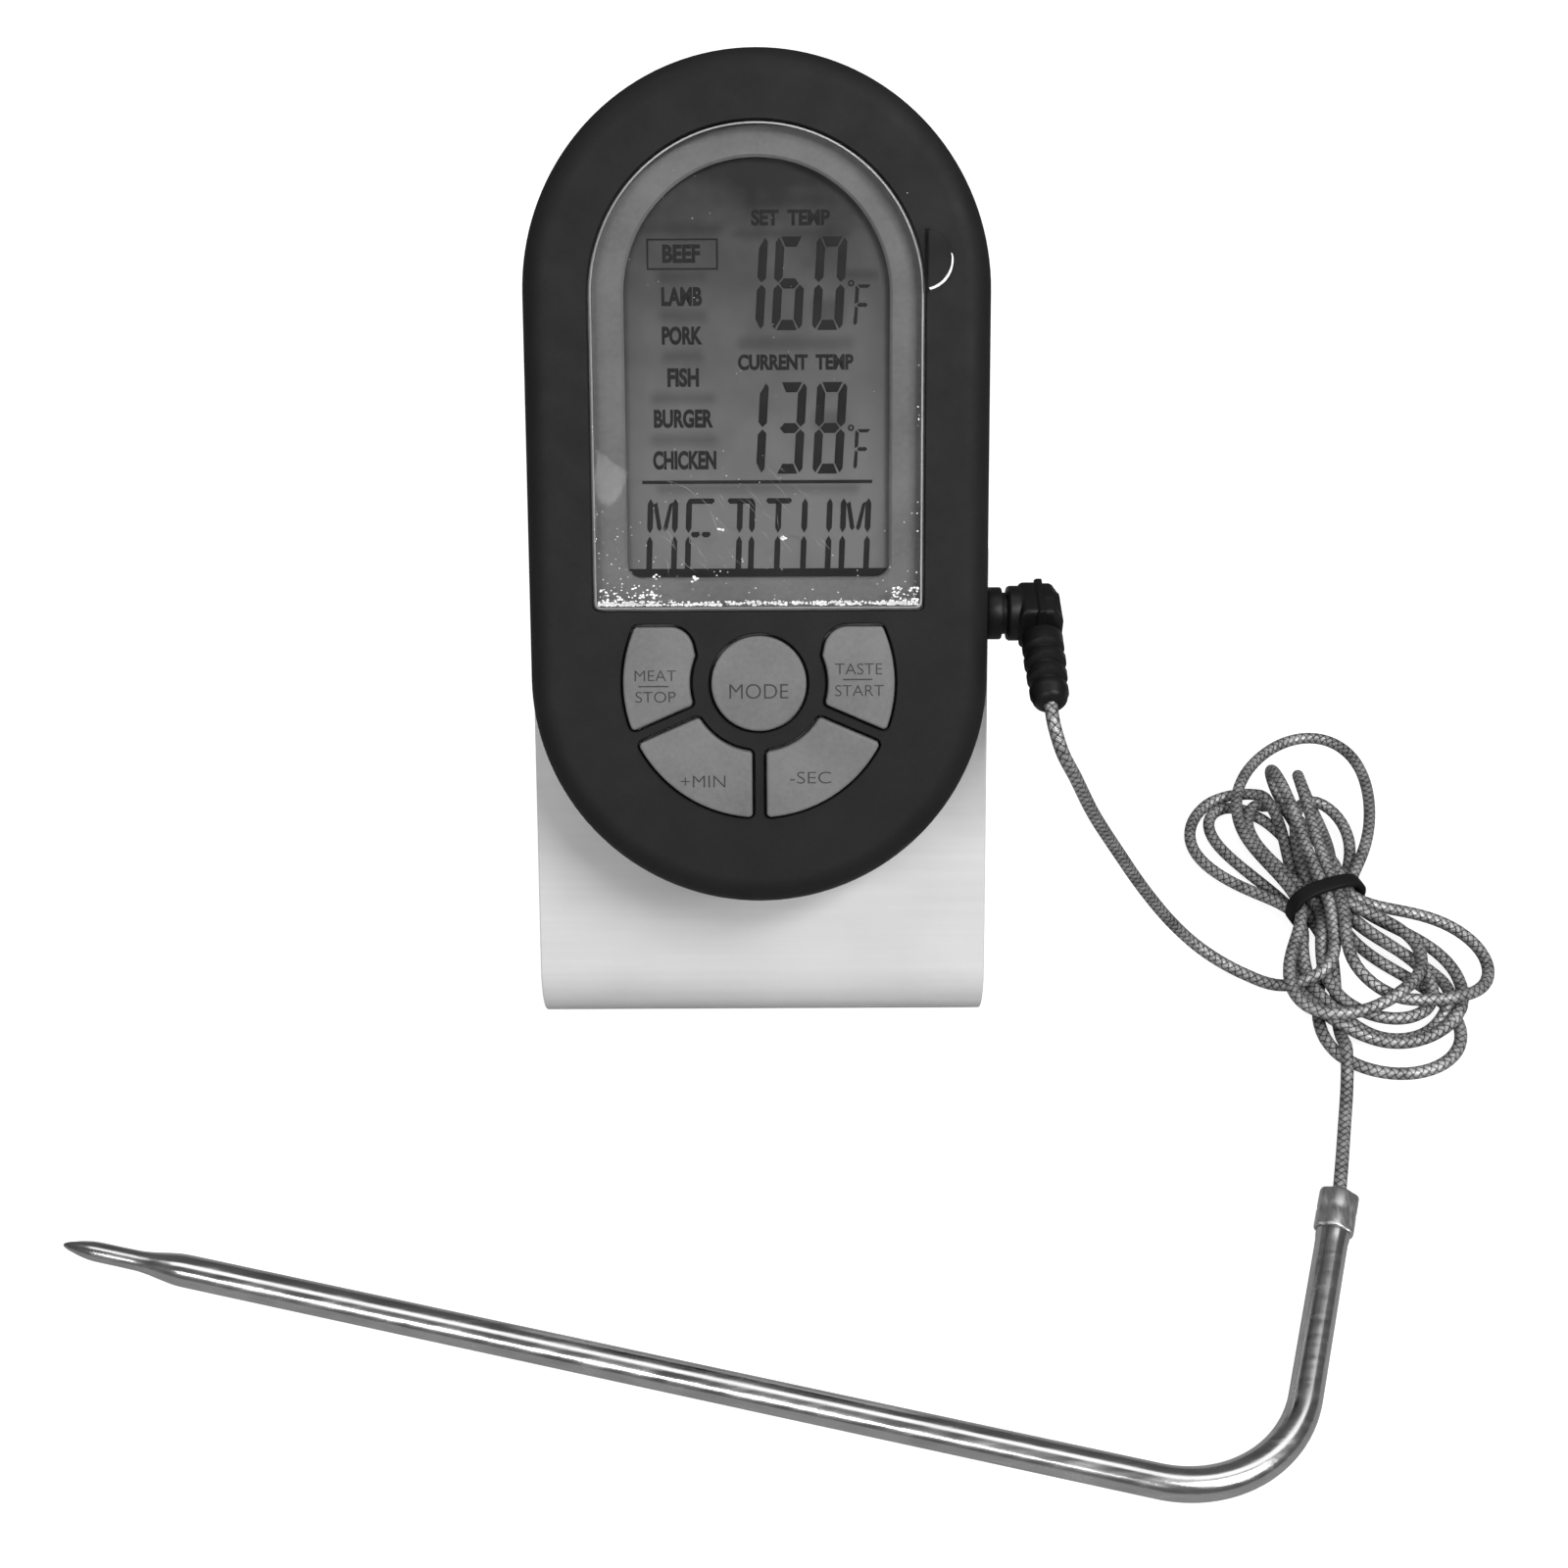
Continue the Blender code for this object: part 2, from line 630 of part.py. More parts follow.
def make_screws(face, finish):
    seat = HOUSING_DEPTH - BACK_WALL - GAP
    for number, (x, y) in enumerate(HOUSING_SCREWS, 1):
        turned(f"housing_screw_{number}", screw_profile(0.0125), (x, y, -seat - 0.0020), (0, 0, 1), finish, face, 12)
    leaf_back = LEAF_FRONT_DEPTH + STAND_SHEET
    for number, (x, y) in enumerate(STAND_SCREWS, 1):
        start = (x, y, -leaf_back - GAP - 0.0017)
        turned(f"stand_screw_{number}", screw_profile(0.0160), start, (0, 0, 1), finish, face, 12)


def screw_profile(shank):
    head = 0.0017
    return (
        (0.0, SCREW_HEAD_RADIUS - 0.0007),
        (0.0006, SCREW_HEAD_RADIUS),
        (head, SCREW_HEAD_RADIUS),
        (head, SCREW_SHANK_RADIUS),
        (head + shank - 0.0008, SCREW_SHANK_RADIUS),
        (head + shank, 0.0004),
    )


def stand_stations():
    """(distance along the sheet, point on its outer face, outward normal) from the leaf's top to the foot's end."""
    leaf_length = STAND_LEAF_BELOW_FACE_CENTRE + STAND_LEAF_TOP
    bend_sweep = math.pi - LEAN
    bend_length = STAND_BEND_RADIUS * bend_sweep
    corner = [STAND_CORNER_RADIUS * (1 - math.cos(math.pi / 2 * i / 6)) for i in range(7)]
    spots = corner + [leaf_length]
    spots += [leaf_length + bend_length * i / 14 for i in range(1, 15)]
    total = leaf_length + bend_length + FOOT_LENGTH
    spots += [total - c for c in reversed(corner)]
    stations = []
    for spot in spots:
        if spot <= leaf_length:
            normal = OUT_OF_FACE
            point = STAND_BEND_CENTRE + normal * STAND_BEND_RADIUS + UP_FACE * (leaf_length - spot)
        elif spot <= leaf_length + bend_length + 1e-9:
            turn = LEAN + (spot - leaf_length) / STAND_BEND_RADIUS
            normal = Vector((0.0, -math.sin(turn), math.cos(turn)))
            point = STAND_BEND_CENTRE + normal * STAND_BEND_RADIUS
        else:
            normal = Vector((0.0, 0.0, -1.0))
            point = Vector((0.0, STAND_BEND_Y + spot - leaf_length - bend_length, 0.0))
        from_end = min(spot, total - spot, STAND_CORNER_RADIUS)
        lost = STAND_CORNER_RADIUS - math.sqrt(STAND_CORNER_RADIUS**2 - (STAND_CORNER_RADIUS - from_end) ** 2)
        stations.append((point, normal, STAND_WIDTH / 2 - lost))
    return stations


def make_stand(face, finish):
    """One sheet: a leaf behind the housing, a round bend at the bottom front, and a foot flat on the table."""
    levels = []
    for point, normal, half in stand_stations():
        inner = point - normal * STAND_SHEET
        across = Vector((half, 0.0, 0.0))
        levels.append([point - across, point + across, inner + across, inner - across])
    stand = make("stand", *stack(levels), finish)
    for centre in STAND_SCREWS:
        hole(stand, circle(centre, SCREW_HOLE_RADIUS, 12), LEAF_FRONT_DEPTH - GAP, LEAF_FRONT_DEPTH + 0.0020, face)


def make_plug(lead, black, metal):
    """A right-angle plug on the jack's axis, whose strain relief points forwards."""
    side = HOUSING_WIDTH / 2
    pin = (
        (0.0, 0.0006),
        (0.0012, PLUG_PIN_RADIUS),
        (0.0020, PLUG_PIN_RADIUS),
        (0.0024, 0.0009),
        (0.0030, PLUG_PIN_RADIUS),
        (0.0110, PLUG_PIN_RADIUS),
    )
    turned("plug_pin", pin, (side - 0.0108, 0.0, 0.0), (1, 0, 0), metal, lead)

    collar = (
        (0.0, 0.0035),
        (0.0005, 0.0039),
        (0.0024, 0.0039),
        (0.0026, 0.0030),
        (0.0032, 0.0030),
        (0.0034, 0.0041),
        (0.0052, 0.0041),
        (0.0058, 0.0036),
        (0.0100, 0.0036),
        (0.0112, 0.0030),
    )
    body = turned("plug_body", collar, (side + 0.0006, 0.0, 0.0), (1, 0, 0), black, lead, 20)
    outline = rectangle(side + 0.0056, side + 0.0120, -0.0041, 0.0033, 0.0016, 3)
    add(body, plate("block", outline, -0.0036, 0.0036, black, lead))

    start = Vector((side + 0.0087, -0.0051, -0.0004))
    end = Vector(UPPER_ROUTE[0]) - Vector(lead.location)
    way = end - start
    length = way.length - 3 * GAP
    relief = [(0.0, 0.0031), (0.0030, 0.0030)]
    for rib in range(3):
        along = 0.0034 + rib * 0.0028
        radius = 0.0030 - rib * 0.00015
        relief += [(along, radius - 0.0008), (along + 0.0009, radius - 0.0008)]
        relief += [(along + 0.0011, radius), (along + 0.0026, radius - 0.00005)]
    relief += [(length - 0.0006, 0.0025), (length, 0.0020)]
    turned("strain_relief", relief, start, way, black, lead)


def hank_outline():
    """The hank from above: a bow tie, narrow where the tie holds it."""
    across = Vector((math.cos(TIE_TURN), math.sin(TIE_TURN)))
    along = Vector((-across.y, across.x))
    middle = Vector(TIE_CENTRE)
    reach = TIE_WIDTH / 2 + 0.0012
    right = [middle + across * HANK_WAIST + along * d for d in (reach, -reach)]
    left = [middle - across * HANK_WAIST + along * d for d in (-reach, reach)]
    lower = (
        (0.1090, -0.0198),
        (0.1160, -0.0228),
        (0.1205, -0.0295),
        (0.1200, -0.0375),
        (0.1150, -0.0425),
        (0.1132, -0.0475),
        (0.1075, -0.0523),
        (0.1010, -0.0541),
        (0.0935, -0.0527),
        (0.0885, -0.0470),
        (0.0843, -0.0405),
        (0.0845, -0.0340),
    )
    upper = (
        (0.0800, -0.0135),
        (0.0742, -0.0070),
        (0.0742, 0.0020),
        (0.0785, 0.0075),
        (0.0840, 0.0140),
        (0.0900, 0.0200),
        (0.0965, 0.0235),
        (0.1035, 0.0228),
        (0.1082, 0.0160),
        (0.1086, 0.0050),
        (0.1045, -0.0080),
    )
    return [tuple(p) for p in right] + list(lower) + [tuple(p) for p in left] + list(upper)


def make_lead(lead, braid, tie_finish):
    spacing = 2.5 * CORD_DIAMETER
    place = Vector(lead.location)

    def local(points):
        return [Vector(p) - place for p in points]

    tube("cord_upper", local(smooth_curve(UPPER_ROUTE, spacing)), CORD_DIAMETER / 2, braid, lead)
    tube("cord_lower", local(smooth_curve(LOWER_ROUTE, spacing)), CORD_DIAMETER / 2, braid, lead)

    outline = hank_outline()
    levels = [[(x, y, z) for x, y in outline] for z in (HANK_BOTTOM, HANK_TOP)]
    points, faces = stack(levels)
    make("cord_hank", local(points), faces, braid, lead)

    across = Vector((math.cos(TIE_TURN), math.sin(TIE_TURN), 0.0))
    along = Vector((-across.y, across.x, 0.0))
    middle = Vector((*TIE_CENTRE, 0.0))

    def ring(half, low, high, corner):
        section = rectangle(-half, half, low, high, corner, 3)
        return [
            [middle + across * x + along * d + Vector((0.0, 0.0, z)) for x, z in section]
            for d in (-TIE_WIDTH / 2, TIE_WIDTH / 2)
        ]

    inner_half = HANK_WAIST + GAP
    outer = stack(ring(inner_half + 0.0007, HANK_BOTTOM - 0.0010, HANK_TOP + 0.0010, 0.0020))
    tie = make("cord_tie", local(outer[0]), outer[1], tie_finish, lead)
    section = rectangle(-inner_half, inner_half, HANK_BOTTOM - GAP, HANK_TOP + GAP, 0.0004, 2)
    levels = [[middle + across * x + along * d + Vector((0.0, 0.0, z)) for x, z in section] for d in (-0.003, 0.003)]
    inner = stack(levels)
    cut(tie, make("inner", local(inner[0]), inner[1], tie_finish, lead))


def probe_path(to_end):
    """Centreline of the probe on the table, stopping to_end short of the handle's end.

    Gives the tip, the bend's first point, all its points, the last point, and the ways back to the tip and on to the end.
    """
    height = PROBE_DIAMETER / 2
    corner = Vector((*PROBE_CORNER, height))
    tip = Vector((*PROBE_TIP, height))
    end = Vector((*PROBE_END, height))
    back = (tip - corner).normalized()
    onward = (end - corner).normalized()
    half_angle = back.angle(onward) / 2
    reach = PROBE_BEND_RADIUS / math.tan(half_angle)
    centre = corner + (back + onward).normalized() * (PROBE_BEND_RADIUS / math.sin(half_angle))
    first = corner + back * reach
    spoke = first - centre
    sweep_angle = math.pi - 2 * half_angle
    bend = [centre + Matrix.Rotation(sweep_angle * i / 12, 3, "Z") @ spoke for i in range(13)]
    return tip, first, bend, end - onward * to_end, back, onward


def make_probe(lead, steel, bead_finish, wire):
    place = Vector(lead.location)
    tip, first, bend, finish, back, onward = probe_path(FERRULE_LENGTH + GAP)
    tip_profile = (
        (0.0, 0.0002),
        (0.0008, 0.0006),
        (0.0045, 0.00135),
        (0.0125, 0.00138),
        (0.0150, 0.00178),
        (0.0178, 0.0022),
        (0.0190, 0.0023),
    )
    radius = PROBE_DIAMETER / 2
    middle = tip.lerp(first, 0.55)
    path = [tip - back * along for along, _ in tip_profile] + [middle] + bend + [finish]
    radii = [r for _, r in tip_profile] + [radius] * (len(bend) + 2)
    outer = sweep([p - place for p in path], radii, 14)
    bore_start = tip - back * 0.0210
    bore_path = [tip - back * 0.0060, tip - back * 0.0150, bore_start, middle] + bend + [finish]
    bore_radii = [0.0008, 0.0009] + [radius - PROBE_WALL] * (len(bend) + 3)
    bore = sweep([p - place for p in bore_path], bore_radii, 14)
    make("probe_tube", *stack(outer + list(reversed(bore))), steel, lead)

    near = finish + onward * GAP
    ends = [near - place, near - place + onward * FERRULE_LENGTH]
    ferrule = sweep(ends, [FERRULE_RADII] * 2, 14) + list(reversed(sweep(ends, [FERRULE_BORE] * 2, 14)))
    count = len(ferrule[0])
    points = [p for ring in ferrule for p in ring]
    faces = []
    for row in range(4):
        after = (row + 1) % 4
        for i in range(count):
            j = (i + 1) % count
            faces.append((row * count + i, row * count + j, after * count + j, after * count + i))
    make("crimp_ferrule", points, faces, steel, lead)

    bead_at = tip - back * 0.0066
    bead = ((0.0, 0.0002), (0.0006, 0.00045), (0.0020, 0.00045), (0.0028, 0.0002))
    turned("thermistor", bead, bead_at - place, -back, bead_finish, lead, 8)
    wire_path = [bead_at - back * 0.0032, tip - back * 0.0150, bore_start, middle]
    wire_path += bend + [near + onward * (FERRULE_LENGTH - 0.0005)]
    tube("sensor_wires", [p - place for p in wire_path], 0.0004, wire, lead, 0)


def build():
    clear_scene()
    charcoal = material("charcoal_plastic", (0.030, 0.030, 0.031), 0.55)
    grey = material("grey_key_plastic", (0.215, 0.215, 0.218), 0.50)
    clear = material("clear_lens", (0.70, 0.71, 0.72), 0.08)
    film = material("clear_film", (0.80, 0.80, 0.81), 0.15)
    silver = material("silver_plastic", (0.170, 0.170, 0.172), 0.45, 0.3)
    glass = material("lcd_glass", (0.160, 0.162, 0.158), 0.30)
    white = material("white_stand_metal", (0.78, 0.78, 0.79), 0.35)
    black = material("black_plastic", (0.012, 0.012, 0.012), 0.50)
    rubber = material("grey_rubber", (0.10, 0.10, 0.10), 0.80)
    board = material("circuit_board", (0.02, 0.12, 0.05), 0.50)
    metal = material("plated_metal", (0.55, 0.54, 0.50), 0.30, 1.0)
    steel = material("stainless_steel", (0.52, 0.52, 0.53), 0.28, 1.0)
    braid = material("steel_braid", (0.42, 0.42, 0.43), 0.40, 1.0)
    wrap = material("battery_wrap", (0.06, 0.06, 0.07), 0.30)

    face = empty("face_frame", FACE_CENTRE, LEAN)
    make_housing_front(face, charcoal)
    make_housing_rear(face, charcoal)
    make_window(face, clear, film, silver, glass)
    make_keys(face, grey)
    make_electronics(face, board, rubber, black, metal)
    make_power_switch(face, black)
    make_power(face, wrap, metal)
    make_battery_door(face, charcoal)
    make_screws(face, metal)
    make_stand(face, white)

    jack_axis = FACE_CENTRE + UP_FACE * JACK_Y - OUT_OF_FACE * JACK_DEPTH
    lead = empty("lead_frame", (0.0, jack_axis.y, jack_axis.z))
    make_plug(lead, black, metal)
    make_lead(lead, braid, black)
    make_probe(lead, steel, black, braid)


build()
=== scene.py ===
"""Looks for the oven meat thermometer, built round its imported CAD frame.

Metres, +Z up, origin in the middle of the underside of the stand's foot, front towards -Y. Housing pieces are
given in the face frame, as in the CAD source: X to the right, Y up the face and Z straight out of it.
"""

import math
import random

import bmesh
import bpy
import numpy as np
from mathutils import Matrix, Vector


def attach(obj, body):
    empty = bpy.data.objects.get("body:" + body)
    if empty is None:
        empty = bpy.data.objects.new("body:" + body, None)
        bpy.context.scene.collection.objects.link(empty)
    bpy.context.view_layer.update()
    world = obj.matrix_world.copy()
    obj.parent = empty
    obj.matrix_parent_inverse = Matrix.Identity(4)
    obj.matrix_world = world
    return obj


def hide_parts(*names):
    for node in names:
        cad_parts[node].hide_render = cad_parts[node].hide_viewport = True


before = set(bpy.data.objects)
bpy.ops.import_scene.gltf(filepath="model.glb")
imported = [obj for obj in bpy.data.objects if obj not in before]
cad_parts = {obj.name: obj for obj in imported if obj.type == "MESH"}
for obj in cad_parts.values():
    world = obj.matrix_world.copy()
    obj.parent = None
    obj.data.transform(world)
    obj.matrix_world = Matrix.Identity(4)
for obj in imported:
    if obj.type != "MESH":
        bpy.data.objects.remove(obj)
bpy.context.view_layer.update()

MM = 0.001
GAP = 0.0003
LEAN = math.radians(55.0)
UP_FACE = Vector((0.0, math.cos(LEAN), math.sin(LEAN)))
OUT_OF_FACE = Vector((0.0, -math.sin(LEAN), math.cos(LEAN)))


def face_matrix():
    """The face frame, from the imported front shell: the middle of its front plane."""
    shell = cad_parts["housing_front"].data.vertices
    ups = [v.co.dot(UP_FACE) for v in shell]
    outs = [v.co.dot(OUT_OF_FACE) for v in shell]
    centre = UP_FACE * ((min(ups) + max(ups)) / 2) + OUT_OF_FACE * max(outs)
    return Matrix.Translation(centre) @ Matrix.Rotation(LEAN, 4, "X")


FACE = face_matrix()
WORLD = Matrix.Identity(4)

# Camera, at the height and angle that the object is seen from
CAMERA_PLACE = (0.00352, -0.24286, 0.24844)
CAMERA_DOWN = math.radians(44.0)
CAMERA_ROLL = math.radians(0.27)
CAMERA_LENS = 45.0


def make_camera():
    data = bpy.data.cameras.new("camera")
    data.sensor_width = 36.0
    data.lens = CAMERA_LENS
    data.clip_start = 0.01
    data.clip_end = 20.0
    camera = bpy.data.objects.new("camera", data)
    tilt = Matrix.Rotation(math.pi / 2 - CAMERA_DOWN, 4, "X")
    camera.matrix_world = Matrix.Translation(CAMERA_PLACE) @ tilt @ Matrix.Rotation(-CAMERA_ROLL, 4, "Z")
    bpy.context.scene.collection.objects.link(camera)
    bpy.context.scene.camera = camera


# ---------------------------------------------------------------- materials


class Shade:
    """A small builder for one procedural material."""

    def __init__(self, name):
        self.material = bpy.data.materials.new(name)
        self.material.use_nodes = True
        self.tree = self.material.node_tree
        self.shader = self.tree.nodes["Principled BSDF"]
        self.output = self.tree.nodes["Material Output"]
        self.place = self.node("ShaderNodeTexCoord").outputs["Object"]

    def node(self, kind, **settings):
        made = self.tree.nodes.new(kind)
        for key, value in settings.items():
            setattr(made, key, value)
        return made

    def link(self, value, socket):
        if hasattr(value, "is_output"):
            self.tree.links.new(value, socket)
        else:
            socket.default_value = value

    def maths(self, operation, first, second=0.0, third=0.0):
        made = self.node("ShaderNodeMath", operation=operation)
        for socket, value in zip(made.inputs, (first, second, third)):
            self.link(value, socket)
        return made.outputs[0]

    def noise(self, scale, detail=3.0, stretch=None):
        made = self.node("ShaderNodeTexNoise")
        made.inputs["Scale"].default_value = scale
        made.inputs["Detail"].default_value = detail
        place = self.place
        if stretch:
            mapping = self.node("ShaderNodeMapping")
            mapping.inputs["Scale"].default_value = stretch
            self.link(self.place, mapping.inputs["Vector"])
            place = mapping.outputs["Vector"]
        self.link(place, made.inputs["Vector"])
        return made.outputs["Fac"]

    def split(self, value):
        """The X, Y and Z sockets of a vector."""
        made = self.node("ShaderNodeSeparateXYZ")
        self.link(value, made.inputs[0])
        return made.outputs

    def spread(self, value, low, high, to_low=0.0, to_high=1.0, curve="LINEAR"):
        """value from low..high brought to to_low..to_high, clamped."""
        made = self.node("ShaderNodeMapRange", interpolation_type=curve)
        for socket, number in zip(made.inputs[1:5], (low, high, to_low, to_high)):
            socket.default_value = number
        self.link(value, made.inputs[0])
        return made.outputs[0]

    def mix(self, share, first, second):
        made = self.node("ShaderNodeMix", data_type="RGBA")
        self.link(share, made.inputs["Factor"])
        self.link(first, made.inputs[6])
        self.link(second, made.inputs[7])
        return made.outputs[2]

    def bump(self, height, strength, distance):
        made = self.node("ShaderNodeBump")
        made.inputs["Strength"].default_value = strength
        made.inputs["Distance"].default_value = distance
        self.link(height, made.inputs["Height"])
        self.link(made.outputs["Normal"], self.shader.inputs["Normal"])

    def set(self, **values):
        for key, value in values.items():
            self.link(value, self.shader.inputs[key.replace("_", " ")])


def grey(level):
    return (level, level, level, 1.0)


def moulded(name, level, roughness, cool=1.01, grain=3200.0, bite=0.25, colour=None, depth=0.00006):
    """Moulded plastic: a fine spark-eroded grain, faint flow marks and slightly uneven gloss."""
    made = Shade(name)
    base = colour or (level, level, level * cool)
    low = (*[c * 0.86 for c in base], 1.0)
    high = (*[c * 1.14 for c in base], 1.0)
    cloud = made.noise(95.0, 4.0)
    speck = made.noise(1500.0, 2.0)
    blend = made.maths("ADD", made.maths("MULTIPLY", cloud, 0.7), made.maths("MULTIPLY", speck, 0.3))
    made.set(Base_Color=made.mix(made.spread(blend, 0.36, 0.64), low, high))
    made.set(Roughness=made.spread(made.noise(210.0), 0.3, 0.7, roughness - 0.06, roughness + 0.06))
    made.bump(made.noise(grain), bite, depth)
    made.set(Specular_IOR_Level=0.2)
    return made


def metal(name, level, roughness, tint=(1.0, 1.0, 1.0), stretch=(1.0, 1.0, 1.0), bite=0.15):
    """Drawn or rolled metal: fine lines along the work, with patchy gloss."""
    made = Shade(name)
    low = (*[level * 0.82 * t for t in tint], 1.0)
    high = (*[min(1.0, level * 1.12 * t) for t in tint], 1.0)
    lines = made.noise(2600.0, 4.0, stretch)
    cloud = made.noise(120.0)
    blend = made.maths("ADD", made.maths("MULTIPLY", cloud, 0.5), made.maths("MULTIPLY", lines, 0.5))
    made.set(Base_Color=made.mix(made.spread(blend, 0.35, 0.65), low, high))
    made.set(Roughness=made.spread(lines, 0.3, 0.7, roughness - 0.06, roughness + 0.08))
    made.bump(lines, bite, 0.00003)
    made.set(Metallic=1.0)
    return made


def braid():
    """Plaited steel wire: two sets of flat strands of four wires, which pass over and under each other. Its
    colour is painted darker down in the hollows between and under the wires, as shade.
    """
    made = Shade("braid")
    uv = made.split(made.node("ShaderNodeUVMap", uv_map="braid").outputs["UV"])
    around = made.maths("MULTIPLY", uv[0], 4.0)
    along = uv[1]
    first = made.maths("ADD", along, around)
    second = made.maths("SUBTRACT", along, around)
    parity = made.maths("ADD", made.maths("FLOOR", first), made.maths("FLOOR", second))
    over = made.maths("FLOORED_MODULO", parity, 2.0)

    def strand(phase):
        share = made.maths("FRACT", phase)
        other = made.maths("SUBTRACT", 1.0, share)
        crown = made.maths("MULTIPLY", made.maths("MULTIPLY", share, other), 4.0)
        wire = made.maths("SINE", made.maths("MULTIPLY", share, 2 * math.pi * 4))
        return crown, made.maths("MULTIPLY_ADD", wire, 0.16, 0.84)

    crown_a, wire_a = strand(first)
    crown_b, wire_b = strand(second)
    under = made.maths("SUBTRACT", 1.0, over)

    def chosen(a, b):
        return made.maths("ADD", made.maths("MULTIPLY", a, over), made.maths("MULTIPLY", b, under))

    crown = made.maths("POWER", chosen(crown_a, crown_b), 0.6)
    height = made.maths("MULTIPLY", crown, chosen(wire_a, wire_b))
    patch = made.spread(made.noise(260.0), 0.35, 0.65, 0.75, 1.1)
    tone = made.maths("MULTIPLY", height, patch)
    # Painted shade: the colour darkens down into the hollows between and under the wires
    made.set(Base_Color=made.mix(made.spread(tone, 0.30, 0.92), grey(0.010), grey(0.56)))
    made.set(Roughness=made.spread(tone, 0.2, 1.0, 0.6, 0.34))
    made.set(Metallic=0.6)
    made.bump(height, 0.7, 0.00012)
    return made


def face_axes(made):
    """Sockets with the distance across and up the face, in metres, from the middle of the front face."""
    up = made.node("ShaderNodeVectorMath", operation="DOT_PRODUCT")
    made.link(made.place, up.inputs[0])
    up.inputs[1].default_value = UP_FACE
    middle = FACE.translation.dot(UP_FACE)
    return made.split(made.place)[0], made.maths("SUBTRACT", up.outputs["Value"], middle)


def soft_box(made, x, y, centre, half, blur):
    """1 inside a box on the face, falling smoothly to 0 over blur; all in millimetres."""
    inside = []
    for value, middle, reach in zip((x, y), centre, half):
        off = made.maths("ABSOLUTE", made.maths("SUBTRACT", value, middle * MM))
        inside.append(made.spread(off, (reach - blur) * MM, (reach + blur) * MM, 1.0, 0.0, "SMOOTHSTEP"))
    return made.maths("MULTIPLY", *inside)


# Soft shadows that the display's marks throw just above themselves: centre and half size, millimetres
DISPLAY_SHADOWS = (
    ((4.8, 39.6), (6.4, 0.9)),
    ((-10.5, 35.9), (5.4, 0.7)),
    ((-10.5, 29.4), (3.4, 0.9)),
    ((-10.5, 24.0), (3.4, 0.9)),
    ((-10.5, 18.4), (2.9, 0.9)),
    ((-10.5, 12.6), (4.6, 0.8)),
    ((-10.5, 6.8), (4.8, 0.8)),
    ((5.4, 20.2), (8.2, 0.9)),
    ((5.0, 35.2), (8.0, 0.6)),
    ((14.6, 29.6), (2.4, 0.6)),
    ((0.0, 0.0), (14.5, 0.7)),
    ((10.2, 24.8), (2.2, 1.6)),
    ((10.2, 9.6), (2.2, 1.2)),
)


def display_back():
    """The display's reflector, with painted shade: dim at the top, lighter below and darker towards the
    sides, and soft painted shadows of the lit words on it.
    """
    made = Shade("lcd_reflector")
    x, y = face_axes(made)
    # Painted shade: the display is painted dimmer towards its top
    painted_shade_gradient = made.maths("POWER", made.spread(y, -0.004, 0.043, 1.0, 0.0), 0.8)
    cloud = made.spread(made.noise(140.0), 0.3, 0.7, -0.10, 0.10)
    level = made.maths("ADD", painted_shade_gradient, cloud)
    shadow = 0.0
    for centre, half in DISPLAY_SHADOWS:
        soft = made.maths("MULTIPLY", soft_box(made, x, y, centre, half, 0.9), 0.34)
        shadow = made.maths("MAXIMUM", soft, shadow)
    # Painted shade: darker towards the side edges, where the bezel's walls shade the display
    sides = made.spread(made.maths("ABSOLUTE", x), 0.0150, 0.0190, 0.0, 0.25)
    shade = made.maths("MULTIPLY", made.maths("SUBTRACT", 1.0, shadow), made.maths("SUBTRACT", 1.0, sides))
    colour = made.mix(level, grey(0.028), grey(0.240))
    dark = made.mix(shade, grey(0.010), colour)
    made.set(Base_Color=dark, Roughness=made.spread(made.noise(900.0), 0.3, 0.7, 0.46, 0.58))
    made.bump(made.noise(2400.0, 2.0), 0.08, 0.00002)
    made.set(Specular_IOR_Level=0.1)
    return made


def clear_sheet(name, haze, haze_level, roughness):
    """A clear plastic sheet: what is behind shows through, under a faint gloss and a fainter uneven haze."""
    made = Shade(name)
    made.set(Base_Color=grey(haze_level), Roughness=0.35)
    through = made.node("ShaderNodeBsdfTransparent")
    through.inputs["Color"].default_value = (0.97, 0.97, 0.97, 1.0)
    gloss = made.node("ShaderNodeBsdfGlossy")
    gloss.inputs["Color"].default_value = (0.35, 0.35, 0.35, 1.0)
    gloss.inputs["Roughness"].default_value = roughness
    fresnel = made.node("ShaderNodeFresnel")
    fresnel.inputs["IOR"].default_value = 1.18
    first = made.node("ShaderNodeMixShader")
    patch = made.spread(made.noise(180.0, 5.0), 0.35, 0.75, haze * 0.5, haze * 1.6)
    made.link(patch, first.inputs[0])
    made.link(through.outputs[0], first.inputs[1])
    made.link(made.shader.outputs[0], first.inputs[2])
    second = made.node("ShaderNodeMixShader")
    made.link(fresnel.outputs[0], second.inputs[0])
    made.link(first.outputs[0], second.inputs[1])
    made.link(gloss.outputs[0], second.inputs[2])
    made.link(second.outputs[0], made.output.inputs["Surface"])
    made.bump(made.noise(320.0), 0.05, 0.00008)
    return made


def painted_sheet():
    """The stand: white satin coat on rolled sheet, with the faintest drawn lines and cloudy gloss."""
    made = Shade("stand_satin")
    cloud = made.noise(70.0, 4.0)
    lines = made.noise(900.0, 4.0, (0.03, 1.0, 1.0))
    blend = made.maths("ADD", made.maths("MULTIPLY", cloud, 0.6), made.maths("MULTIPLY", lines, 0.4))
    made.set(Base_Color=made.mix(made.spread(blend, 0.35, 0.65), grey(0.62), grey(0.68)))
    made.set(Roughness=made.spread(made.noise(160.0), 0.3, 0.7, 0.34, 0.46))
    made.bump(made.noise(1600.0, 3.0, (0.2, 1.0, 1.0)), 0.06, 0.00003)
    made.set(Specular_IOR_Level=0.3)
    return made


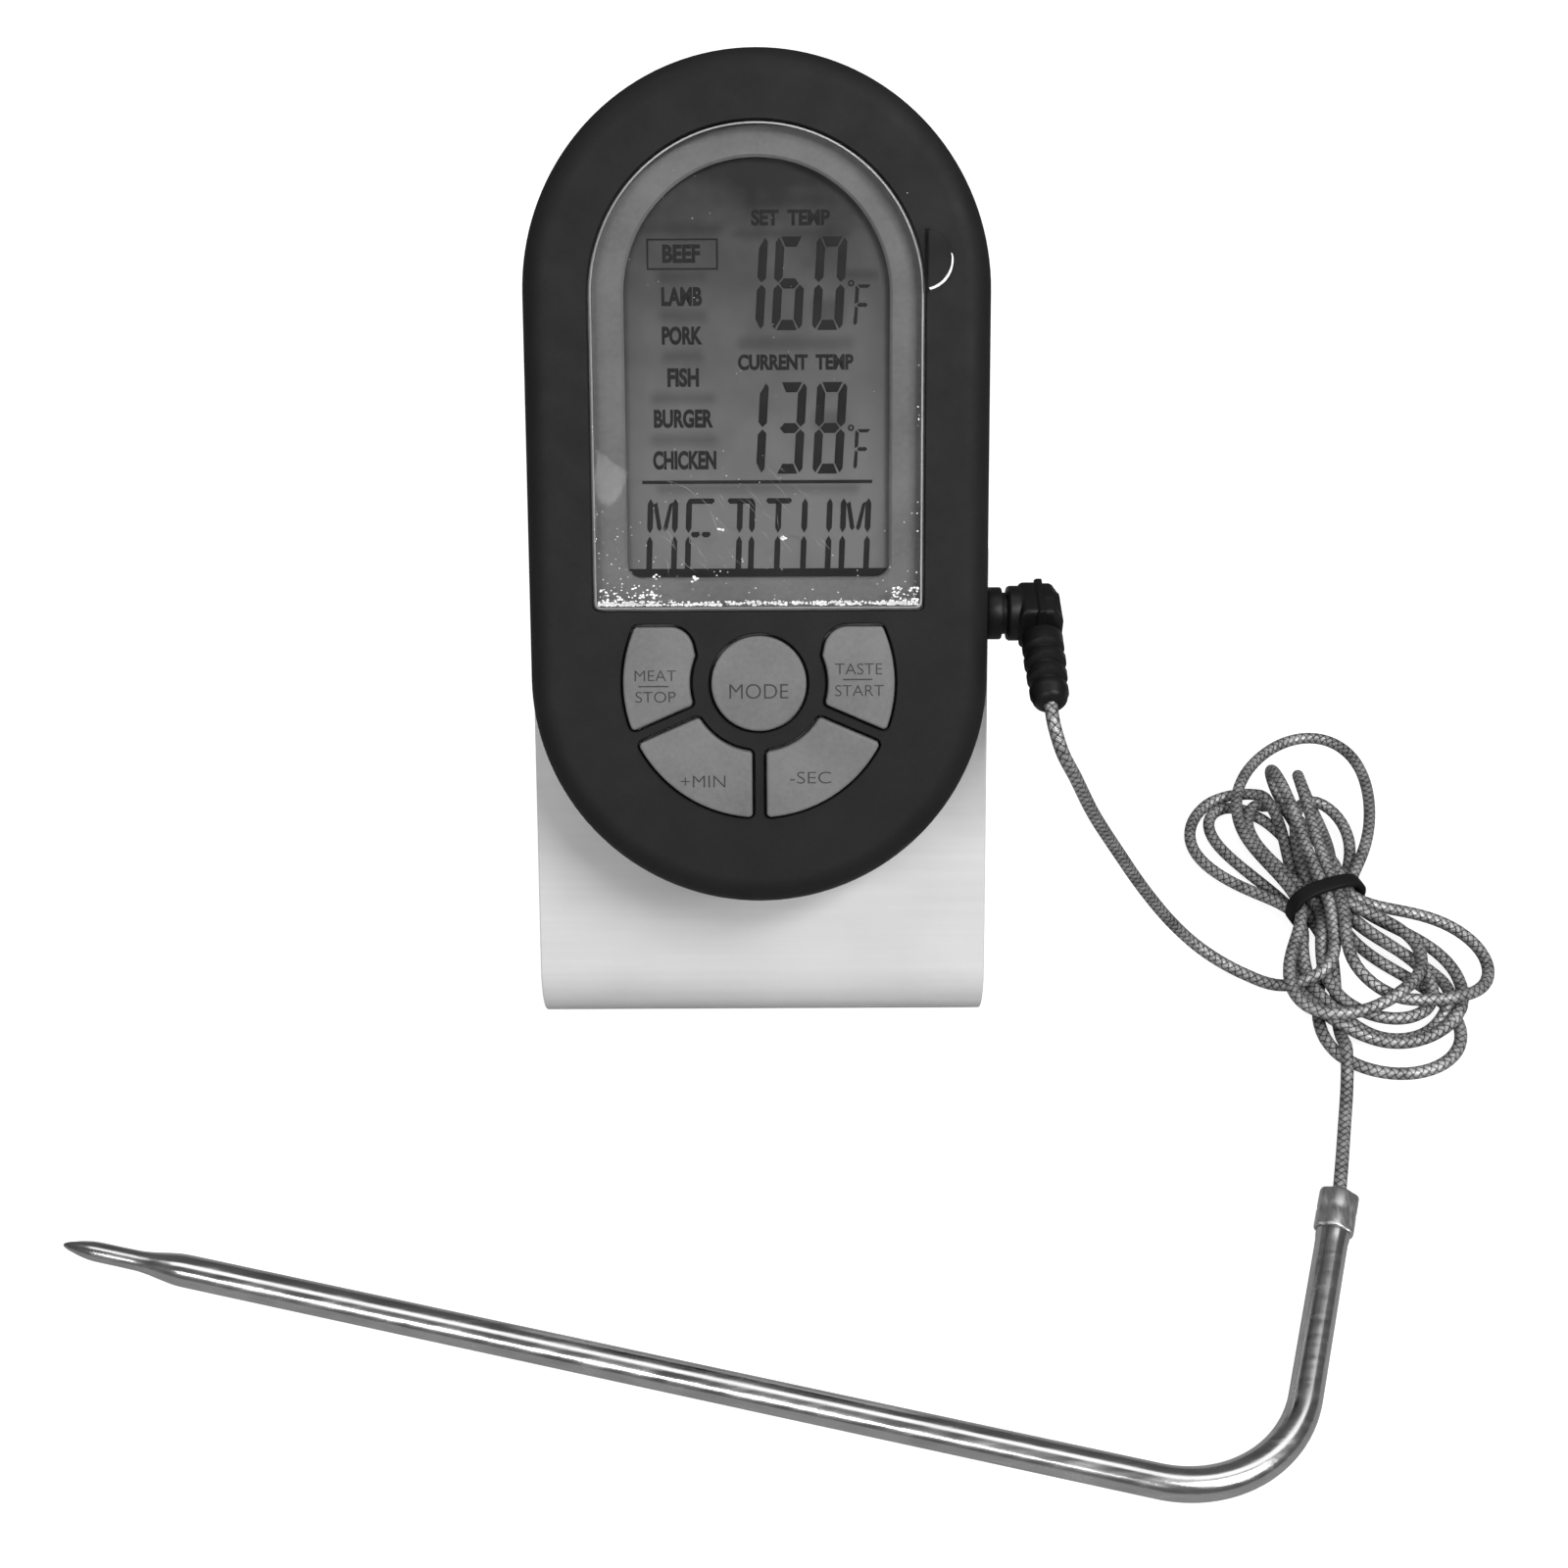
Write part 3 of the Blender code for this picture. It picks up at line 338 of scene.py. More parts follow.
def board():
    """Green circuit board: solder mask over copper tracks, with tinned pads."""
    made = moulded("circuit_board", 0.05, 0.38, colour=(0.012, 0.085, 0.032), grain=900.0, bite=0.1)
    x, y = face_axes(made)
    tracks = []
    for value, pitch in ((x, 0.0021), (y, 0.0027)):
        wave = made.maths("PINGPONG", value, pitch)
        tracks.append(made.spread(wave, 0.00016, 0.00024, 1.0, 0.0))
    lines = made.maths("MAXIMUM", *tracks)
    broken = made.maths("MULTIPLY", lines, made.spread(made.noise(330.0, 1.0), 0.48, 0.52))
    pads = made.maths("MULTIPLY", *tracks)
    mask, copper, tin = (0.010, 0.075, 0.028, 1.0), (0.035, 0.19, 0.07, 1.0), (0.62, 0.60, 0.55, 1.0)
    colour = made.mix(made.maths("MULTIPLY", broken, 0.6), mask, copper)
    made.set(Base_Color=made.mix(pads, colour, tin), Metallic=pads)
    return made


def cell_wrap():
    """A dry cell: dark printed sleeve with a pale ring near one end, and bare metal at both ends."""
    made = moulded("cell_wrap", 0.02, 0.30, grain=1500.0, bite=0.08)
    off = made.maths("ABSOLUTE", made.split(made.place)[0])
    ends = made.spread(off, 0.02040, 0.02046)
    ring = made.spread(off, 0.0175, 0.0176, 1.0, 0.0)
    ring = made.maths("MULTIPLY", made.spread(off, 0.0140, 0.0141), ring)
    body = made.mix(made.spread(made.noise(400.0), 0.3, 0.7), grey(0.016), grey(0.026))
    sleeve = made.mix(ring, body, (0.44, 0.30, 0.12, 1.0))
    made.set(Base_Color=made.mix(ends, sleeve, grey(0.60)), Metallic=ends)
    return made


def make_looks():
    """Every look: its material, and the record's slot that it belongs to."""
    looks = {}

    def keep(name, slot, shade):
        looks[name] = (shade.material, slot)

    keep("charcoal", "charcoal_plastic", moulded("charcoal", 0.0108, 0.62))
    keep("key", "grey_keys", moulded("key_grey", 0.168, 0.52, grain=4200.0, bite=0.12, depth=0.00003))
    keep("legend", "grey_keys", moulded("legend_ink", 0.045, 0.55, grain=6000.0, bite=0.1))
    keep("lens", "clear_lens", clear_sheet("lens_clear", 0.002, 0.5, 0.03))
    keep("lens_rim", "clear_lens", moulded("lens_rim", 0.42, 0.25, grain=2500.0, bite=0.1, depth=0.00003))
    keep("film", "clear_film", clear_sheet("film_clear", 0.006, 0.5, 0.10))
    # Bubbles under the film, drawn as white flecks: painted glints
    keep("glint", "clear_film", moulded("film_bubble_glints", 0.95, 0.30, cool=1.0, grain=5000.0, bite=0.2))
    keep("scratch", "clear_film", moulded("film_scratch", 0.40, 0.40, grain=5000.0, bite=0.2))
    bezel = moulded("bezel_grey", 0.215, 0.55, grain=2600.0, bite=0.12, depth=0.00003)
    keep("bezel", "silver_plastic", bezel)
    keep("reflector", "lcd_glass", display_back())
    keep("segment", "lcd_glass", moulded("lcd_segment", 0.0090, 0.45, grain=5200.0, bite=0.1, depth=0.00002))
    # Near-black, for the painted shadow along the bottom of the display's view
    keep("band", "black_plastic", moulded("display_painted_shadow", 0.005, 0.50, grain=3000.0, bite=0.3))
    keep("stand", "white_metal", painted_sheet())
    keep("braid", "steel_braid", braid())
    keep("tie", "black_plastic", moulded("tie_rubber", 0.006, 0.60, grain=2200.0, bite=0.3))
    keep("plug", "black_plastic", moulded("plug_black", 0.008, 0.42, grain=2600.0, bite=0.18))
    keep("steel", "stainless_steel", metal("steel", 0.60, 0.22, stretch=(0.04, 0.3, 0.3), bite=0.03))
    keep("crimp", "stainless_steel", metal("crimp_steel", 0.62, 0.38, stretch=(1.0, 0.2, 1.0), bite=0.08))
    keep("plated", "plated_metal", metal("plated", 0.58, 0.30, tint=(1.0, 0.98, 0.93)))
    keep("rubber", "grey_rubber", moulded("contact_rubber", 0.11, 0.75, grain=1800.0, bite=0.3))
    keep("board", "circuit_board", board())
    keep("chip", "black_plastic", moulded("chip_black", 0.012, 0.50, grain=5000.0, bite=0.2))
    keep("cell", "battery_wrap", cell_wrap())
    return looks


LOOKS = make_looks()

# ---------------------------------------------------------------- meshes


def raw(name, points, faces, at=WORLD):
    """A mesh object in the row frame, from points given in the frame at; its outside faces out."""
    mesh = bpy.data.meshes.new(name)
    mesh.from_pydata([tuple(at @ Vector(p)) for p in points], [], faces)
    shape = bmesh.new()
    shape.from_mesh(mesh)
    bmesh.ops.recalc_face_normals(shape, faces=shape.faces)
    shape.to_mesh(mesh)
    shape.free()
    obj = bpy.data.objects.new(name, mesh)
    bpy.context.scene.collection.objects.link(obj)
    return obj


def settle(obj, look, body, *nodes, angle=35.0):
    """Gives a finished piece its look and its body, and hides the CAD nodes it stands for."""
    material, slot = LOOKS[look]
    obj.data.materials.clear()
    obj.data.materials.append(material)
    obj.data.shade_smooth()
    obj.data.set_sharp_from_angle(angle=math.radians(angle))
    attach(obj, body)
    if nodes:
        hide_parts(*nodes)
    return obj


# ---------------------------------------------------------------- the lead

CORD_DIAMETER = 0.0020
CORD_SIDES = 16
BRAID_PITCH = 0.0013
# Rounds of smoothing and of settling, and the stretches at the ends that keep to the route
EASE_ROUNDS = 24
SETTLE_ROUNDS = 420
HELD_AT_PLUG = 0.066
HELD_AT_PROBE = 0.018
# In each round, the share of the way back to the route, more inside the tie, and the fall, in metres
PULL_BACK = 0.012
PULL_IN_TIE = 0.05
FALL = 0.000003
# The lead's route between the plug and the hank, and between the hank and the probe
UPPER_ROUTE = (
    (0.0420, -0.0318, 0.0604),
    (0.0424, -0.0346, 0.0587),
    (0.0438, -0.0365, 0.0550),
    (0.0461, -0.0362, 0.0500),
    (0.0500, -0.0343, 0.0405),
    (0.0548, -0.0319, 0.0305),
    (0.0608, -0.0297, 0.0190),
    (0.0669, -0.0284, 0.0093),
    (0.0727, -0.0287, 0.0030),
    (0.0777, -0.0309, 0.0011),
    (0.0815, -0.0336, 0.0011),
    (0.0836, -0.0347, 0.0011),
)
LOWER_ROUTE = (
    (0.0918, -0.0530, 0.0013),
    (0.0910, -0.0570, 0.0012),
    (0.0895, -0.0625, 0.0013),
    (0.0877, -0.0690, 0.0018),
    (0.0860, -0.0749, 0.0023),
    (0.0852, -0.0775, 0.0023),
)
TIE_CENTRE = Vector((0.0946, -0.0195, 0.0))
TIE_TURN = math.radians(20.0)
TIE_ACROSS = Vector((math.cos(TIE_TURN), math.sin(TIE_TURN), 0.0))
TIE_ALONG = Vector((-math.sin(TIE_TURN), math.cos(TIE_TURN), 0.0))
TIE_REACH = 0.0021

# Where the cord passes through the tie, in order: millimetres across from its middle, and height.
# It goes up through the first place, down through the second and so on.
PLACES = (
    (-0.5, 7.3),
    (3.1, 3.3),
    (-1.0, 3.3),
    (4.2, 5.3),
    (1.7, 7.3),
    (2.1, 5.3),
    (-4.9, 5.3),
    (5.2, 3.3),
    (-4.2, 1.3),
    (2.1, 1.3),
    (0.0, 1.3),
    (4.2, 1.3),
    (-5.2, 3.3),
    (-2.1, 1.3),
)
# The turns between those places, alternately above and below the tie: millimetres in the row frame.
ENTRY = ((87.0, -37.0, 1.6), (90.6, -35.8, 2.8), (93.2, -33.0, 4.2), (94.2, -29.5, 5.6))
TURNS = (
    (
        (92.8, -13.0, 8.0), (92.2, -6.0, 8.8), (91.4, 1.0, 9.3), (90.6, 6.6, 9.4),
        (90.2, 10.6, 8.2), (90.4, 12.2, 5.4), (91.6, 10.6, 2.6), (93.0, 6.6, 1.3),
        (94.4, 0.0, 1.3), (95.6, -8.0, 2.3),
    ),
    (
        (101.5, -27.0, 4.0), (107.6, -32.0, 3.6), (109.2, -38.0, 3.4), (105.0, -43.0, 3.4),
        (98.0, -43.2, 3.4), (92.6, -38.0, 3.4), (92.0, -31.0, 3.4),
    ),
    (
        (90.0, -12.0, 3.4), (86.6, -5.5, 3.0), (84.8, 1.4, 2.6), (87.2, 6.2, 2.6),
        (91.6, 6.0, 2.6), (95.0, 0.0, 3.0), (97.0, -10.0, 4.4),
    ),
    (
        (108.8, -21.2, 4.2), (115.3, -24.6, 3.8), (118.8, -29.4, 3.4), (119.0, -34.2, 3.2),
        (116.0, -38.2, 3.4), (110.6, -40.6, 4.2), (104.3, -40.8, 5.0), (99.2, -38.7, 5.6),
        (96.0, -34.6, 6.0), (95.0, -29.0, 6.6),
    ),
    (
        (94.9, -13.0, 7.9), (94.9, -6.0, 8.6), (94.4, 0.0, 9.3), (94.2, 5.4, 9.4),
        (94.6, 9.4, 8.0), (95.6, 10.6, 5.4), (97.0, 9.0, 2.8), (98.2, 5.0, 1.4),
        (98.8, -1.4, 1.5), (98.2, -10.0, 3.2),
    ),
    (
        (101.6, -22.6, 5.6), (105.8, -26.0, 5.4), (108.1, -31.0, 5.4), (106.2, -36.2, 5.6),
        (102.0, -40.6, 5.8), (97.0, -43.2, 5.6), (91.3, -44.4, 5.2), (86.6, -42.4, 4.6),
        (85.2, -38.2, 4.4), (86.3, -32.0, 4.8), (87.9, -27.0, 5.2),
    ),
    (
        (87.6, -12.6, 5.0), (84.8, -7.0, 4.6), (83.4, -1.4, 4.4), (84.0, 5.6, 4.2),
        (87.0, 12.6, 4.2), (92.6, 18.8, 4.2), (99.6, 22.2, 4.2), (105.2, 20.2, 4.2),
        (107.6, 12.8, 4.2), (107.0, 3.0, 4.2), (104.4, -6.0, 4.0), (101.6, -12.6, 3.8),
    ),
    (
        (107.0, -24.0, 2.6), (113.0, -30.5, 2.4), (113.6, -38.0, 2.4), (109.0, -44.6, 2.2),
        (101.0, -47.6, 2.0), (93.6, -45.0, 2.0), (89.2, -38.4, 1.8), (88.4, -31.0, 1.6),
    ),
    (
        (87.0, -14.0, 1.3), (83.6, -8.6, 1.3), (80.0, -3.4, 1.3), (78.2, 1.6, 1.3),
        (79.6, 5.8, 1.3), (84.0, 7.6, 1.3), (88.4, 5.0, 1.3), (91.6, -1.6, 1.3),
        (94.0, -9.6, 1.3),
    ),
    (
        (99.6, -27.6, 1.2), (106.6, -33.6, 1.1), (111.4, -40.0, 1.1), (112.0, -46.0, 1.1),
        (107.8, -51.0, 1.1), (101.2, -53.0, 1.1), (94.6, -51.6, 1.1), (90.4, -47.6, 1.1),
        (89.2, -41.6, 1.1), (91.0, -34.0, 1.1),
    ),
    (
        (93.0, -9.0, 2.6), (93.0, -1.6, 3.0), (94.4, 4.0, 3.0), (97.6, 7.0, 3.0),
        (101.0, 4.6, 3.0), (102.4, -1.6, 2.8), (101.6, -9.4, 2.4),
    ),
    (
        (105.0, -26.6, 1.4), (110.6, -33.0, 1.3), (111.8, -39.6, 1.3), (106.8, -45.2, 1.3),
        (99.4, -46.4, 1.4), (93.0, -43.6, 1.6), (89.4, -37.6, 1.8), (88.2, -30.6, 2.4),
    ),
    (
        (84.2, -15.8, 2.0), (79.4, -10.2, 1.6), (75.4, -5.6, 1.3), (75.0, -0.6, 1.3),
        (77.0, 4.4, 1.3), (81.8, 8.6, 2.2), (87.2, 8.2, 2.6), (90.2, 2.6, 2.6),
        (91.4, -6.0, 2.2),
    ),
)
EXIT = ((93.8, -29.6, 1.2), (93.4, -36.0, 1.1), (92.8, -42.0, 1.1), (92.3, -47.6, 1.1))


def smooth_curve(route, spacing):
    """Points about spacing apart on a Catmull-Rom curve through the route's points."""
    stops = [Vector(p) for p in route]
    stops = [stops[0] * 2 - stops[1]] + stops + [stops[-1] * 2 - stops[-2]]
    fine = []
    for i in range(1, len(stops) - 2):
        before, start, end, after = stops[i - 1 : i + 3]
        for k in range(24):
            t = k / 24
            fine.append(
                0.5
                * (
                    2 * start
                    + (end - before) * t
                    + (2 * before - 5 * start + 4 * end - after) * t * t
                    + (3 * start - before - 3 * end + after) * t**3
                )
            )
    fine.append(stops[-2])
    return even(fine, spacing)


def even(fine, spacing):
    """The same line with its points about spacing apart."""
    line = np.array([tuple(p) for p in fine])
    run = np.concatenate([[0.0], np.cumsum(np.linalg.norm(np.diff(line, axis=0), axis=1))])
    count = max(2, round(run[-1] / spacing))
    wanted = np.linspace(0.0, run[-1], count + 1)
    return np.stack([np.interp(wanted, run, line[:, k]) for k in range(3)], axis=1)


def tie_place(place, side):
    """The middle of the cord where it passes the tie's upper (1) or lower (-1) edge."""
    across, height = place
    point = TIE_CENTRE + TIE_ACROSS * (across * MM) + TIE_ALONG * (side * TIE_REACH)
    return Vector((point.x, point.y, height * MM))


def lead_route():
    """The whole lead's control points, from the plug's strain relief to the probe."""
    route = [Vector(p) for p in UPPER_ROUTE]
    route += [Vector(p) * MM for p in ENTRY]
    side = 1
    for i, place in enumerate(PLACES):
        route += [tie_place(place, -side), tie_place(place, side)]
        if i < len(TURNS):
            route += [Vector(p) * MM for p in TURNS[i]]
        side = -side
    route += [Vector(p) * MM for p in EXIT]
    return route + [Vector(p) for p in LOWER_ROUTE]


def straighten(line, reach, share):
    """The move of each point that makes the bend change more slowly over reach points, without shrinking."""
    sag = np.zeros_like(line)
    sag[reach:-reach] = (line[: -2 * reach] + line[2 * reach :]) / 2 - line[reach:-reach]
    move = np.zeros_like(line)
    move[reach:-reach] = share * (sag[reach:-reach] - (sag[: -2 * reach] + sag[2 * reach :]) / 2)
    return move


def relax(line):
    """Lets the cord settle: its turns push each other apart, it bends gently, and it rests on the table."""
    line = line.copy()
    step = np.linalg.norm(np.diff(line, axis=0), axis=1).mean()
    # Points closer than this along the cord are neighbours, and don't push each other
    near = int(math.ceil(2.6 * CORD_DIAMETER / step))
    floor = CORD_DIAMETER / 2 + 0.00005
    apart = CORD_DIAMETER * 1.02
    rows, columns = np.triu_indices(len(line), near)
    held = np.zeros(len(line), bool)
    held[: int(HELD_AT_PLUG / step)] = True
    held[-int(HELD_AT_PROBE / step) :] = True
    offset = line - np.array(TIE_CENTRE)
    along, across = np.abs(offset @ np.array(TIE_ALONG)), np.abs(offset @ np.array(TIE_ACROSS))
    in_tie = (along < 0.0028) & (across < 0.0075)
    for _ in range(EASE_ROUNDS):
        ease = straighten(line, 2, 0.3)
        ease[held] = 0.0
        line += ease
    start = line.copy()
    for turn in range(SETTLE_ROUNDS):
        # The pairs that may touch are looked up now and then, because finding them is slow
        if turn % 6 == 0:
            close = ((line[rows] - line[columns]) ** 2).sum(axis=1) < (1.7 * CORD_DIAMETER) ** 2
            first, second = rows[close], columns[close]
        spans = line[first] - line[second]
        gaps = np.linalg.norm(spans, axis=1)
        short = gaps < apart
        push, most = np.zeros_like(line), np.full(len(line), 1e-9)
        if short.any():
            way = spans[short]
            way[:, 2] += np.where(way[:, 2] >= 0, 1e-5, -1e-5)
            way[:, 2] *= 1.5
            way /= np.linalg.norm(way, axis=1)[:, None]
            lack = apart - gaps[short]
            for ends, hand in ((first[short], 0.5), (second[short], -0.5)):
                np.add.at(push, ends, way * (hand * lack**2)[:, None])
                np.add.at(most, ends, lack)
            push *= 1.6 / most[:, None]
        back = start - line
        move = push + straighten(line, 1, 0.2) + straighten(line, 3, 0.06) + PULL_BACK * back
        move[in_tie] += PULL_IN_TIE * back[in_tie]
        move[:, 2] -= FALL
        move[held] = 0.0
        line += move
        line[:, 2] = np.maximum(line[:, 2], floor)
    return line


def tube_mesh(name, path, radius, sides, pitch):
    """A round tube along path with closed ends, and a UV map that runs round it and along it."""
    line = [Vector(p) for p in path]
    side = (line[1] - line[0]).orthogonal().normalized()
    points, along = [], 0.0
    runs = []
    for i, point in enumerate(line):
        way = (line[min(i + 1, len(line) - 1)] - line[max(i - 1, 0)]).normalized()
        side = (side - way * side.dot(way)).normalized()
        other = way.cross(side)
        if i:
            along += (point - line[i - 1]).length
        runs.append(along / pitch)
        for k in range(sides):
            turn = 2 * math.pi * k / sides
            points.append(point + (side * math.cos(turn) + other * math.sin(turn)) * radius)
    faces, marks = [], []
    for i in range(len(line) - 1):
        for k in range(sides):
            after = (k + 1) % sides
            faces.append((i * sides + k, i * sides + after, (i + 1) * sides + after, (i + 1) * sides + k))
            low, high = k / sides, (k + 1) / sides
            marks += [(low, runs[i]), (high, runs[i]), (high, runs[i + 1]), (low, runs[i + 1])]
    last = (len(line) - 1) * sides
    faces += [tuple(range(sides - 1, -1, -1)), tuple(range(last, last + sides))]
    marks += [(0.0, 0.0)] * (2 * sides)
    mesh = bpy.data.meshes.new(name)
    mesh.from_pydata([tuple(p) for p in points], [], faces)
    layer = mesh.uv_layers.new(name="braid")
    layer.data.foreach_set("uv", np.array(marks, np.float32).ravel())
    obj = bpy.data.objects.new(name, mesh)
    bpy.context.scene.collection.objects.link(obj)
    return obj


def make_cord():
    rough_line = smooth_curve(lead_route(), 0.0011)
    settled = relax(rough_line)
    path = smooth_curve(settled, 0.00036)
    cord = tube_mesh("lead_cord", path, CORD_DIAMETER / 2, CORD_SIDES, BRAID_PITCH)
    settle(cord, "braid", "probe_lead", "cord_upper", "cord_hank", "cord_lower", angle=60.0)


# ---------------------------------------------------------------- outlines and solids


def arc(centre, radius, start, end, steps):
    """Points on an arc, both ends included; angles in degrees."""
    turn = [math.radians(start + (end - start) * i / steps) for i in range(steps + 1)]
    return [(centre[0] + radius * math.cos(a), centre[1] + radius * math.sin(a)) for a in turn]


def circle(centre, radius, steps=48):
    return arc(centre, radius, 0, 360, steps)[:-1]


def rectangle(x_low, x_high, y_low, y_high, corner=0.0, steps=6):
    if corner == 0.0:
        return [(x_low, y_low), (x_high, y_low), (x_high, y_high), (x_low, y_high)]
    corners = (
        (x_low + corner, y_low + corner, 180),
        (x_high - corner, y_low + corner, 270),
        (x_high - corner, y_high - corner, 0),
        (x_low + corner, y_high - corner, 90),
    )
    return [point for x, y, turn in corners for point in arc((x, y), corner, turn, turn + 90, steps)]


def rounded_bar(half_width, half_height, radius, steps):
    """The outline of a bar centred on the origin, with round corners of that many steps each."""
    outline = []
    for turn in range(0, 360, 90):
        x = math.copysign(half_width - radius, math.cos(math.radians(turn + 45)))
        y = math.copysign(half_height - radius, math.sin(math.radians(turn + 45)))
        outline += arc((x, y), radius, turn, turn + 90, steps)
    return outline


def spread_box(sides, grow, corner=0.0):
    """The rectangle between the sides left, right, bottom and top, moved outwards by grow."""
    x_low, x_high, y_low, y_high = sides
    return rectangle(x_low - grow, x_high + grow, y_low - grow, y_high + grow, corner)


def arch(half_width, top, bottom, corner=0.0008):
    """A round-topped window outline with small bottom corners."""
    head = arc((0.0, top - half_width), half_width, 0, 180, 64)
    left = arc((-half_width + corner, bottom + corner), corner, 180, 270, 6)
    right = arc((half_width - corner, bottom + corner), corner, 270, 360, 6)
    return head + left + right


def grown(outline, reach):
    """The outline moved outwards by reach, with its sharp outside corners rounded to that radius."""
    area = sum(a[0] * b[1] - b[0] * a[1] for a, b in zip(outline, outline[1:] + outline[:1]))
    hand = 1.0 if area > 0 else -1.0
    count = len(outline)
    moved = []
    for i, point in enumerate(outline):
        before = Vector(point) - Vector(outline[i - 1])
        after = Vector(outline[(i + 1) % count]) - Vector(point)
        first = math.atan2(-before.x * hand, before.y * hand)
        second = math.atan2(-after.x * hand, after.y * hand)
        bend = (second - first + math.pi) % (2 * math.pi) - math.pi
        steps = 6 if bend * hand > math.radians(20) else 0
        for k in range(steps + 1):
            turn = first + bend * (k / steps if steps else 0.5)
            moved.append((point[0] + reach * math.cos(turn), point[1] + reach * math.sin(turn)))
    return moved


def bands(rows, count, closed=False):
    """Faces between neighbouring rings of count points, and from the last ring to the first where closed."""
    faces = []
    for row in range(rows if closed else rows - 1):
        low, high = row * count, (row + 1) % rows * count
        for i in range(count):
            j = (i + 1) % count
            faces.append((low + i, low + j, high + j, high + i))
    return faces


def stack(levels):
    """Points and faces of a closed solid lofted through outlines with equal numbers of points."""
    count = len(levels[0])
    points = [point for level in levels for point in level]
    last = len(points) - count
    return points, [tuple(range(count)), *bands(len(levels), count), tuple(range(last, last + count))]


def at_depth(outline, depth):
    return [(x, y, -depth) for x, y in outline]


def plate(name, outline, depth_front, depth_back):
    return raw(name, *stack([at_depth(outline, depth_front), at_depth(outline, depth_back)]), FACE)


def edge_steps(radius, steps=5):
    """(inset, depth) pairs round an outside edge, from the flat face to the side."""
    turns = [math.pi / 2 * i / steps for i in range(steps + 1)]
    return [(radius * (1 - math.sin(a)), radius * (1 - math.cos(a))) for a in turns]


def slab(name, outline_of, depth_front, depth_back, front_edge):
    """A plate with a rounded front edge; outline_of(grow) gives its outline moved outwards by grow."""
    levels = [at_depth(outline_of(-inset), depth_front + depth) for inset, depth in edge_steps(front_edge)]
    levels.append(at_depth(outline_of(0.0), depth_back))
    return raw(name, *stack(levels), FACE)


def turned(name, profile, start, axis, sides=40, at=WORLD):
    """A solid turned about axis through start; profile lists (distance along the axis, radius)."""
    way = Vector(axis).normalized()
    side = way.orthogonal().normalized()
    other = way.cross(side)
    levels = []
    for along, radius in profile:
        turns = [2 * math.pi * i / sides for i in range(sides)]
        spot = Vector(start) + way * along
        levels.append([spot + (side * math.cos(a) + other * math.sin(a)) * radius for a in turns])
    return raw(name, *stack(levels), at)


def combine(obj, tool, operation="DIFFERENCE"):
    """Applies one Boolean to obj with tool, and removes the tool."""
    modifier = obj.modifiers.new("cut", "BOOLEAN")
    modifier.operation = operation
    modifier.object = tool
    bpy.context.view_layer.update()
    graph = bpy.context.evaluated_depsgraph_get()
    mesh = bpy.data.meshes.new_from_object(obj.evaluated_get(graph))
    obj.modifiers.clear()
    old = obj.data
    obj.data = mesh
    bpy.data.meshes.remove(old)
    bpy.data.objects.remove(tool, do_unlink=True)
    mesh.name = obj.name
    return obj


def hole(obj, outline_of, depth_front, depth_back, lip=0.0):
    """Cuts a hole, with a small sloping lip at its front end where lip is given."""
    levels = [at_depth(outline_of(0.0), depth_front), at_depth(outline_of(0.0), depth_back)]
    if lip:
        levels = [
            at_depth(outline_of(2 * lip), -lip),
            at_depth(outline_of(0.0), lip),
            at_depth(outline_of(0.0), depth_back),
        ]
    combine(obj, raw("hole", *stack(levels), FACE))


def merge(name, shapes):
    """One mesh from several raw ones, which are removed."""
    points, faces = [], []
    for shape in shapes:
        start = len(points)
        points += [tuple(v.co) for v in shape.data.vertices]
        faces += [tuple(start + i for i in face.vertices) for face in shape.data.polygons]
        bpy.data.objects.remove(shape, do_unlink=True)
    return raw(name, points, faces)


PRINT_THICK = 0.00004


def words(text, low, high, depth, weight=0.0, thick=PRINT_THICK, back=False):
    """Raised lettering that fills the box from low to high on the face; on the back it reads from behind."""
    curve = bpy.data.curves.new("words", "FONT")
    curve.body = text
    curve.offset = weight
    curve.extrude = 0.01
    curve.resolution_u = 6
    letters = bpy.data.objects.new("words", curve)
    bpy.context.scene.collection.objects.link(letters)
    bpy.context.view_layer.update()
    mesh = bpy.data.meshes.new_from_object(letters.evaluated_get(bpy.context.evaluated_depsgraph_get()))
    bpy.data.objects.remove(letters, do_unlink=True)
    bpy.data.curves.remove(curve)
    spots = np.array([tuple(v.co) for v in mesh.vertices])
    least, most = spots.min(axis=0), spots.max(axis=0)
    share = (spots - least) / (most - least)
    if back:
        share[:, 0] = 1.0 - share[:, 0]
    size = np.array([high[0] - low[0], high[1] - low[1], thick])
    placed = share * size + np.array([low[0], low[1], -depth - (thick if back else 0.0)])
    shape = bmesh.new()
    shape.from_mesh(mesh)
    for vertex, spot in zip(shape.verts, placed):
        vertex.co = spot
    bmesh.ops.remove_doubles(shape, verts=shape.verts, dist=1e-7)
    shape.to_mesh(mesh)
    shape.free()
    points = [tuple(v.co) for v in mesh.vertices]
    faces = [tuple(face.vertices) for face in mesh.polygons]
    bpy.data.meshes.remove(mesh)
    return raw("words", points, faces, FACE)


# ---------------------------------------------------------------- the display unit

HOUSING_WIDTH = 0.0660
HOUSING_LENGTH = 0.1204
HOUSING_DEPTH = 0.0197
SEAM_DEPTH = 0.0097
WALL = 0.0018
FACE_WALL = 0.0018
BACK_WALL = 0.0022
LENS = (0.0233, 0.0498, -0.0170)
VIEW = (0.0187, 0.0454, -0.0127)
KEY_CENTRE_Y = -0.0276
MODE_KEY_RADIUS = 0.0068
RING_KEY_INNER = 0.0099
RING_KEY_OUTER = 0.0194
RING_KEY_TOP = 0.0081
KEY_SPACING = 0.00205
KEY_DIAGONAL = math.radians(23.5)
KEY_CLEARANCE = 0.00035
KEY_CORNER = 0.0006
KEY_RISE = 0.0010
KEY_FLANGE = 0.0008
KEY_BOTTOM = 0.0029
